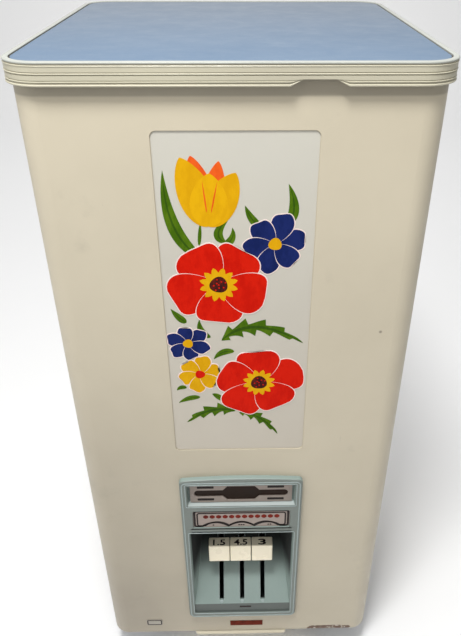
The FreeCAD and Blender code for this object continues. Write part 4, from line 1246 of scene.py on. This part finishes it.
    def draw_bloom(self, shape: bmesh.types.BMesh, inks: list[Finishes], bloom: Bloom) -> None:
        """Print a flower: pale halo, petals and its middle.

        Args:
            shape: Bmesh of the print.
            inks: Inks used so far.
            bloom: What to print.
        """
        blunt = (0.85, 0.42) if bloom.pointed else (0.75, 0.30)
        turns = [bloom.turn + 360.0 * i / bloom.petals for i in range(bloom.petals)]
        reaches = [bloom.reach * (1.0 + 0.07 * math.sin(2.3 * i + bloom.turn)) for i in range(bloom.petals)]
        for turn, reach in zip(turns, reaches):
            for grow, ink in ((bloom.gap, Finishes.HALO), (0.0, bloom.ink)):
                leaf = self.petal(bloom.centre, turn, 0.0, reach + grow, bloom.width + 2.0 * grow, blunt,
                                  bloom.ripple, bloom.squash)
                self.slab(shape, inks, leaf, ink)
        self.slab(shape, inks, self.heart_loop(bloom), bloom.heart_ink, bloom.centre)
        if bloom.seed > 0:
            self.slab(shape, inks, self.disc(bloom.centre, bloom.seed, 24), Finishes.SEED, bloom.centre)
            for i in range(self.seeds):
                angle, out = 2.4 * i, bloom.seed * 0.28 * math.sqrt(i)
                dot = (bloom.centre[0] + out * math.cos(angle), bloom.centre[1] + out * math.sin(angle))
                self.slab(shape, inks, self.disc(dot, 0.8, 8), Finishes.RED, dot)
                self.layer -= 1
            self.layer += 1

    @staticmethod
    def disc(centre: Point, radius: float, steps: int) -> list[Point]:
        """Slightly uneven round patch."""
        loop = []
        for i in range(steps):
            angle = 2 * math.pi * i / steps
            reach = radius * (1 + 0.06 * math.sin(3 * angle + centre[0]))
            loop.append((centre[0] + reach * math.cos(angle), centre[1] + reach * math.sin(angle)))
        return loop

    @staticmethod
    def heart_loop(bloom: Bloom) -> list[Point]:
        """Outline of a flower's middle, toothed like a small sun where it is a poppy."""
        if not bloom.toothed:
            return PicturePanel.disc(bloom.centre, bloom.heart, 24)
        loop = []
        teeth = 12
        for i in range(teeth * 4):
            angle = 2 * math.pi * i / (teeth * 4)
            swell = (1.0, 1.25, 1.42, 1.25)[i % 4]
            loop.append((bloom.centre[0] + bloom.heart * swell * math.cos(angle),
                         bloom.centre[1] + bloom.heart * swell * math.sin(angle)))
        return loop

    def draw_leaf(self, shape: bmesh.types.BMesh, inks: list[Finishes], leaf: Leaf) -> None:
        """Print a leaf with a darker vein.

        Args:
            shape: Bmesh of the print.
            inks: Inks used so far.
            leaf: What to print.
        """
        self.slab(shape, inks, self.blade(leaf, leaf.width, leaf.lobes), Finishes.GREEN)
        self.slab(shape, inks, self.blade(leaf, leaf.width * self.vein_share, 0), Finishes.GREEN_DARK)

    @staticmethod
    def blade(leaf: Leaf, width: float, lobes: int) -> list[Point]:
        """Outline of a leaf.

        Args:
            leaf: Spine of the leaf.
            width: Widest part.
            lobes: Number of teeth on each side.

        Returns:
            The outline.
        """
        steps = 12 * max(lobes, 2)
        sides: dict[int, list[Point]] = {1: [], -1: []}
        for i in range(1, steps):
            t = i / steps
            a, b, c = (1 - t) ** 2, 2 * t * (1 - t), t * t
            x = a * leaf.root[0] + b * leaf.bend[0] + c * leaf.tip[0]
            z = a * leaf.root[1] + b * leaf.bend[1] + c * leaf.tip[1]
            dx = (1 - t) * (leaf.bend[0] - leaf.root[0]) + t * (leaf.tip[0] - leaf.bend[0])
            dz = (1 - t) * (leaf.bend[1] - leaf.root[1]) + t * (leaf.tip[1] - leaf.bend[1])
            norm = math.hypot(dx, dz)
            half = width / 2 * (t / 0.4) ** 0.6 * ((1 - t) / 0.6) ** 0.9
            for side in (1, -1):
                cut = 1.0
                if lobes:
                    phase = (t * lobes + (0.5 if side < 0 else 0.0)) % 1.0
                    cut = 0.34 + 0.8 * phase ** 1.5
                sides[side].append((x - side * dz / norm * half * cut, z + side * dx / norm * half * cut))
        return [leaf.root] + sides[1] + [leaf.tip] + list(reversed(sides[-1]))

    def draw_tulip(self, shape: bmesh.types.BMesh, inks: list[Finishes]) -> None:
        """Print the tulip: stem, three outer petals and an orange inner one."""
        stem = self.tulip_stem
        self.slab(shape, inks, self.blade(stem, stem.width, 0), Finishes.GREEN)
        for angle, reach, width, ink in self.tulip_petals:
            self.slab(shape, inks, self.petal(self.tulip, angle, -1.0, reach, width, (0.55, 0.75)), ink)
        for lean in self.tulip_creases:
            crease = self.petal(self.tulip, lean, 12.0, 40.0, 1.3, (0.5, 0.9))
            self.slab(shape, inks, crease, Finishes.ORANGE)


# ------------------------------------------------------------------ dispenser
@dataclass(frozen=True)
class Bead:
    """A raised line round an opening of the unit, in millimetres."""

    name: str
    half: float
    foot: float
    head: float
    corner: float
    steps: int
    width: float

    def path(self, centre: float) -> list[Point]:
        """Middle line of the bead in metres."""
        return rounded_loop(centre - self.half * MM, centre + self.half * MM, self.foot * MM,
                            self.head * MM, self.corner * MM, self.steps)


@dataclass
class Dispenser:
    """Nameplate, ribs, slot borders and key numerals of the measuring unit."""

    centre: float = 3.0 * MM
    pitch: float = 26.3 * MM
    plate_foot: Point = (-184.0 * MM, 115.4 * MM)
    lean: float = math.radians(32.6)
    slot_ends: Point = (122.0 * MM, 196.0 * MM)
    border: float = 4.4 * MM
    line: float = 0.5 * MM
    raised: float = 0.35 * MM
    sunk: float = -0.15 * MM
    boss_drop: float = 4.7 * MM
    boss: tuple[Point, ...] = ((2.2, -0.15), (2.2, 0.2), (1.9, 0.38), (1.2, 0.5), (0.5, 0.55))
    rib_half: float = 58.5 * MM
    rib_level: float = 257.4 * MM
    rib_pitch: float = 5.6 * MM
    proud: float = 0.35 * MM
    rooted: float = 0.3 * MM
    bead_bevel: float = 0.25 * MM
    lines: tuple[Bead, ...] = (
        Bead("unit_rim_bead", 65.9, 92.1, 338.0, 5.0, 6, 1.2),
        Bead("key_opening_bead", 62.0, 98.0, 256.0, 2.0, 4, 1.0),
        Bead("window_bead", 62.2, 299.8, 335.2, 1.2, 4, 0.9))
    slit_places: tuple[Point, ...] = ((-37.0, 305.3), (-37.0, 324.4), (42.0, 305.3), (42.0, 324.4))
    slit_size: Point = (9.4 * MM, 1.7 * MM)
    foot_slit: tuple[float, ...] = (7.0 * MM, 108.7 * MM, 7.4 * MM, 1.5 * MM)
    legend_marks: tuple[tuple[int, int], ...] = ((1, -1), (3, 0), (2, 1))
    grains: int = 12
    keys: tuple[tuple[str, str, float], ...] = (
        ("1_5", "1.5", 15.0), ("4_5", "4.5", 16.5), ("3", "3", 9.5))

    def build(self) -> None:
        """Make every added piece of the unit."""
        self.ribs()
        self.beads()
        self.slot_borders()
        self.numerals()
        self.nameplate()
        self.slits()
        self.badge_frame()

    def on_plate(self) -> Matrix:
        """Matrix from flat (x, along, out) to the leaning slot plate."""
        y, z = self.plate_foot
        c, s = math.cos(self.lean), math.sin(self.lean)
        return Matrix(((1, 0, 0, 0), (0, s, -c, y), (0, c, s, z), (0, 0, 0, 1)))

    def slot_borders(self) -> None:
        """Raised line round each slot and a round boss at its foot."""
        start = (self.slot_ends[0] - self.plate_foot[1]) / math.cos(self.lean)
        end = (self.slot_ends[1] - self.plate_foot[1]) / math.cos(self.lean)
        x = self.centre - self.pitch
        shape = bmesh.new()
        outer = rounded_loop(x - self.border, x + self.border, start - 4.5 * MM, end, self.border * 0.98, 8)
        inner = rounded_loop(x - self.border + self.line, x + self.border - self.line,
                             start - 4.5 * MM + self.line, end - self.line,
                             (self.border - self.line) * 0.98, 8)
        steps = ((outer, self.sunk), (outer, self.raised), (inner, self.raised), (inner, self.sunk))
        rings = [[shape.verts.new((px, py, level)) for px, py in loop] for loop, level in steps]
        bridge(shape, rings + rings[:1])
        border = from_bmesh("slot_borders", shape, [])
        border.data.transform(self.on_plate())
        attach(repeat_in_row(border, 3, (self.pitch, 0.0, 0.0), Finishes.UNIT_EDGE), "cabinet",
               "cream_plastic")
        shape = bmesh.new()
        rings = []
        for radius, level in self.boss:
            loop = PicturePanel.disc((0.0, 0.0), radius, 24)
            rings.append([shape.verts.new((x + px * MM, start - self.boss_drop + py * MM, level * MM))
                          for px, py in loop])
        bridge(shape, rings)
        cap(shape, rings)
        boss = from_bmesh("slot_bosses", shape, [], smooth=True)
        boss.data.transform(self.on_plate())
        attach(repeat_in_row(boss, 3, (self.pitch, 0.0, 0.0), Finishes.UNIT_EDGE), "cabinet", "cream_plastic")

    def ribs(self) -> None:
        """Two fine ribs across the front between the nameplate and the key opening."""
        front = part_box("dispenser_bezel")[0][1]
        shape = bmesh.new()
        section = ((0.35, -0.9), (0.0, -0.9), (0.0, 0.5), (0.0, 0.9), (0.35, 0.9))
        ends = []
        for x in (self.centre - self.rib_half, self.centre + self.rib_half):
            ends.append([shape.verts.new((x, front + depth * MM, self.rib_level + level * MM))
                         for depth, level in section])
        bridge(shape, ends)
        cap(shape, ends)
        rib = from_bmesh("front_ribs", shape, [])
        pair = repeat_in_row(rib, 2, (0.0, 0.0, self.rib_pitch), Finishes.UNIT_EDGE)
        attach(pair, "cabinet", "cream_plastic")

    def beads(self) -> None:
        """Fine raised lines round the unit's rim, the key opening and the window."""
        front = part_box("dispenser_bezel")[0][1]
        for line in self.lines:
            bead = self.ribbon(line.name, line.path(self.centre), line.width * MM, front - self.proud,
                               front + self.rooted, Finishes.UNIT_EDGE)
            modifier = bead.modifiers.new("Bevel", "BEVEL")
            modifier.width = self.bead_bevel
            modifier.segments = 2
            attach(apply_modifiers(bead), "cabinet", "cream_plastic")

    def numerals(self) -> None:
        """Numbers on the tops of the keys, one set to each key's body."""
        for name, words, width in self.keys:
            low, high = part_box("key_cap_" + name)
            place = Matrix.Translation(((low[0] + high[0]) / 2, low[1] + 6.3 * MM, high[2] + 0.03 * MM))
            piece = text_piece("numerals_" + name, words, width * MM, 8.4 * MM, 0.14 * MM, place)
            attach(piece, "key_" + name, "key_cream")

    def slits(self) -> None:
        """Dark ink patches on the window plate and in the foot of the lever recess, painted shade standing
        for the insides of slits.
        """
        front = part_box("window_plate")[0][1]
        marks = [(x * MM, z * MM, *self.slit_size, front) for x, z in self.slit_places]
        marks.append((*self.foot_slit, self.plate_foot[0]))
        pieces = []
        for i, (x, z, half_x, half_z, face) in enumerate(marks):
            outline = rounded_loop(x - half_x, x + half_x, z - half_z, z + half_z, 0.8 * MM, 4)
            # Painted shade: each slit is a thin dark plate laid on the face.
            pieces.append(plate(f"slit_{i}", outline, face - 0.08 * MM, face + 0.2 * MM, [Finishes.INK]))
        attach(join("dark_slits", pieces), "cabinet", "taupe_plate")

    def badge_frame(self) -> None:
        """Dark frame round the face of the blank badge."""
        low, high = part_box("blank_badge")
        path = rounded_loop(low[0] + 1.5 * MM, high[0] - 1.5 * MM, low[2] + 1.5 * MM, high[2] - 1.5 * MM,
                            1.2 * MM, 4)
        frame = self.ribbon("badge_frame", path, 1.5 * MM, low[1] - 0.06 * MM, low[1] + 0.2 * MM,
                            Finishes.INK)
        attach(frame, "cabinet", "cream_plastic")

    def nameplate(self) -> None:
        """Plate with a double border, a scalloped foot and a row of grains for a legend."""
        low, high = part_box("nameplate")
        mid, foot, head = (low[0] + high[0]) / 2, low[2], high[2]
        base = plate("nameplate_board", rounded_loop(low[0], high[0], foot, head, 3.2 * MM, 6),
                     low[1] + 0.25 * MM, high[1], [Finishes.TAUPE], bevel=0.15 * MM)
        attach(base, "cabinet", "taupe_plate", "nameplate")
        front, back = low[1] + 0.13 * MM, low[1] + 0.3 * MM
        lines = [self.ribbon("outer", self.arched(low, high, 1.8 * MM), 2.6 * MM, front, back,
                             Finishes.INK),
                 self.ribbon("inner", self.arched(low, high, 5.0 * MM), 1.8 * MM, front, back,
                             Finishes.INK)]
        half = (high[0] - low[0]) / 2 - 7.0 * MM
        small = bmesh.new()
        for count, step in self.legend_marks:
            for i in range(count):
                x = mid + step * half * 2 / 3 + (i - (count - 1) / 2) * 2.6 * MM
                self.grain(small, x, foot + 3.4 * MM, 1.1 * MM, 1.0 * MM, front, back)
        lines.append(from_bmesh("small_grains", small, [Finishes.INK]))
        attach(join("nameplate_lines", lines), "cabinet", "taupe_plate")
        legend = bmesh.new()
        self.grain(legend, mid - half * 0.84, head - 11.0 * MM, 3.2 * MM, 3.0 * MM, front, back)
        row = from_bmesh("nameplate_grains", legend, [])
        repeat_in_row(row, self.grains, (half * 1.68 / (self.grains - 1), 0.0, 0.0), Finishes.GRAIN_RED)
        attach(row, "cabinet", "taupe_plate")

    @staticmethod
    def ribbon(name: str, path: list[Point], width: float, front: float, back: float,
               finish: Finishes) -> bpy.types.Object:
        """Band of even width along a closed path in the XZ plane.

        Args:
            name: Name of the band.
            path: Its middle line.
            width: Its width.
            front: Y of its face.
            back: Y of its back.
            finish: Finish of the band.

        Returns:
            The band.
        """
        shape = bmesh.new()
        count = len(path)
        rings = [[], [], [], []]
        for i, (x, z) in enumerate(path):
            before, after = path[i - 1], path[(i + 1) % count]
            along = Vector((after[0] - before[0], after[1] - before[1])).normalized() * width / 2
            for ring, side, level in zip(rings, (1, 1, -1, -1), (back, front, front, back)):
                ring.append(shape.verts.new((x + side * along.y, level, z - side * along.x)))
        bridge(shape, rings + rings[:1])
        return from_bmesh(name, shape, [finish])

    @staticmethod
    def arched(low: Vector, high: Vector, inset: float) -> list[Point]:
        """Rounded outline whose foot is three arches between cusps."""
        x0, x1, z1 = low[0] + inset, high[0] - inset, high[2] - inset
        z0 = low[2] + 1.5 * MM + (inset - 1.5 * MM) * 0.30
        corner, ends = 2.6 * MM, 9.0 * MM
        span = (x1 - x0 - 2 * ends) / 3
        loop = []
        for arch in range(3):
            for step in range(14):
                t = step / 14
                loop.append((x0 + ends + span * (arch + t), z0 + 6.4 * MM * math.sin(math.pi * t) ** 0.8))
        loop.append((x1 - ends, z0))
        return loop + [point for point in rounded_loop(x0, x1, z0, z1, corner, 6)]

    @staticmethod
    def grain(shape: bmesh.types.BMesh, x: float, z: float, half_x: float, half_z: float, front: float,
              back: float) -> None:
        """Add one grain-shaped patch.

        Args:
            shape: Bmesh to add to.
            x: Middle.
            z: Middle.
            half_x: Half width.
            half_z: Half height.
            front: Y of its face.
            back: Y of its back.
        """
        loop = []
        for i in range(16):
            angle = 2 * math.pi * i / 16
            loop.append((x + half_x * math.cos(angle) * abs(math.cos(angle)) ** 0.3,
                         z + half_z * math.sin(angle)))
        rings = [[shape.verts.new((px, level, pz)) for px, pz in loop] for level in (back, front)]
        bridge(shape, rings)
        cap(shape, rings)


# ------------------------------------------------------------------ carried-over parts
@dataclass
class Dressing:
    """Finishes for the CAD nodes that stay as they are."""

    plan: dict[str, Finishes] = field(default_factory=lambda: {
        "cabinet_shell": Finishes.CABINET, "back_panel": Finishes.CABINET,
        "bottom_plate": Finishes.GALVANISED, "rim_collar": Finishes.MOULDED,
        "hopper_funnel": Finishes.GALVANISED, "measuring_case_left": Finishes.CASE,
        "measuring_case_right": Finishes.CASE, "outlet_chute": Finishes.GALVANISED,
        "dispenser_bezel": Finishes.UNIT, "level_lens": Finishes.SMOKED, "window_plate": Finishes.TAUPE,
        "label_strip": Finishes.LABEL, "blank_badge": Finishes.BADGE, "plinth_frame": Finishes.PLINTH,
        "rubber_feet": Finishes.RUBBER, "lid_board": Finishes.CORE, "lid_gasket": Finishes.RUBBER,
        "receiving_tray": Finishes.MOULDED, "tray_pull_lip": Finishes.LIP})
    prefixes: tuple[tuple[str, Finishes], ...] = (
        ("lever_", Finishes.STEEL), ("shaft_", Finishes.STEEL), ("return_spring", Finishes.STEEL),
        ("hinge_", Finishes.ZINC), ("tray_rail", Finishes.GALVANISED),
        ("measuring_gates", Finishes.STEEL), ("key_cap", Finishes.KEY))

    def build(self, nodes: dict) -> None:
        """Give every node its finish.

        Args:
            nodes: The frame's nodes by name.
        """
        for name, node in nodes.items():
            finish = self.plan.get(name)
            for prefix, choice in self.prefixes:
                if finish is None and name.startswith(prefix):
                    finish = choice
            if finish is None:
                LOG.info("%s keeps its own finish", name)
                continue
            if not node.material_slots:
                node.data.materials.append(finish.get())
            for place in node.material_slots:
                place.material = finish.get()


# ------------------------------------------------------------------ studio
@dataclass(frozen=True)
class Lamp:
    """A soft square lamp: where it hangs, where it points, its edge length and its watts."""

    name: str
    place: Place
    target: Place
    size: float
    power: float

    def build(self) -> None:
        """Hang the lamp."""
        light = bpy.data.lights.new(self.name, "AREA")
        light.size = self.size
        light.energy = self.power
        lamp = bpy.data.objects.new(self.name, light)
        bpy.context.scene.collection.objects.link(lamp)
        aim = (Vector(self.target) - Vector(self.place)).to_track_quat("-Z", "Y")
        lamp.matrix_world = Matrix.Translation(self.place) @ aim.to_matrix().to_4x4()


@dataclass
class Studio:
    """Floor, soft lights, pale surroundings and the camera."""

    eye: Place = (0.0043, -0.6802, 0.8694)
    right: Place = (0.9997, -0.0237, 0.0035)
    up: Place = (0.0098, 0.5384, 0.8427)
    lens: float = 36.14
    shift: float = -0.0377
    ambient: float = 0.42
    floor_half: float = 4.0
    wall_at: float = 3.2
    sweep: float = 0.8
    wall_height: float = 3.2
    below: float = 0.0002
    paper: Colour = (0.88, 0.88, 0.88)
    lamps: tuple[Lamp, ...] = (
        Lamp("key_light", (-0.12, -0.56, 1.72), (0.0, -0.2, 0.3), 0.26, 20.0),
        Lamp("side_light", (-1.9, -1.2, 1.5), (0.0, 0.0, 0.5), 1.4, 12.0),
        Lamp("backdrop_light", (0.0, 1.5, 2.9), (0.0, 3.1, 0.6), 1.6, 34.0))

    def build(self) -> None:
        """Set the stage."""
        self.floor()
        self.world()
        for lamp in self.lamps:
            lamp.build()
        self.camera()

    def floor(self) -> None:
        """Large pale floor, a hair below the feet, that sweeps up into a plain wall behind."""
        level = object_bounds()[0][2] - self.below
        path = [(-self.floor_half, level)]
        for step in range(13):
            angle = math.radians(90 * step / 12)
            path.append((self.wall_at - self.sweep + self.sweep * math.sin(angle),
                         level + self.sweep - self.sweep * math.cos(angle)))
        path.append((self.wall_at, self.wall_height))
        points = [(side * self.floor_half, y, z) for y, z in path for side in (-1, 1)]
        faces = [(2 * i, 2 * i + 1, 2 * i + 3, 2 * i + 2) for i in range(len(path) - 1)]
        mesh = bpy.data.meshes.new("floor")
        mesh.from_pydata(points, [], faces)
        for polygon in mesh.polygons:
            polygon.use_smooth = True
        graph = Graph("pale_floor")
        graph.colour(self.paper)
        graph.rough(graph.remap(graph.noise(30.0), 0.3, 0.7, 0.7, 0.9))
        piece = bpy.data.objects.new("floor", mesh)
        bpy.context.scene.collection.objects.link(piece)
        mesh.materials.append(graph.material)
        piece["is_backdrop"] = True

    def world(self) -> None:
        """Even pale surroundings."""
        world = bpy.data.worlds.new("studio")
        world.use_nodes = True
        sky = world.node_tree.nodes["Background"]
        sky.inputs["Color"].default_value = (1.0, 1.0, 1.0, 1.0)
        sky.inputs["Strength"].default_value = self.ambient
        bpy.context.scene.world = world
        bpy.context.scene.view_settings.view_transform = "Standard"

    def camera(self) -> None:
        """Camera looking down at the front."""
        data = bpy.data.cameras.new("camera")
        data.lens = self.lens
        data.sensor_width = 36.0
        data.shift_x = self.shift
        data.clip_start = 0.01
        camera = bpy.data.objects.new("camera", data)
        bpy.context.scene.collection.objects.link(camera)
        right, up = Vector(self.right).normalized(), Vector(self.up).normalized()
        back = right.cross(up)
        turn = Matrix((right, up, back)).transposed().to_4x4()
        camera.matrix_world = Matrix.Translation(self.eye) @ turn
        bpy.context.scene.camera = camera


def main() -> None:
    """Build the scene in order."""
    logging.basicConfig(level=logging.INFO, format="%(message)s")
    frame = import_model()
    nodes = frame["nodes"]
    Studio().build()
    Dressing().build(nodes)
    for part in (Lid(), PicturePanel(), Dispenser()):
        part.build()
        LOG.info("built %s", type(part).__name__)
    for screws in (ScrewSet("back_panel_screws", "cabinet", (0.0, 1.0, 0.0)),
                   ScrewSet("hinge_screws_body", "cabinet", (0.0, 1.0, 0.0)),
                   ScrewSet("hinge_screws_lid", "lid", (0.0, 0.0, -1.0))):
        screws.build(nodes)
        LOG.info("built %s", screws.node)


if __name__ == "__main__":
    main()
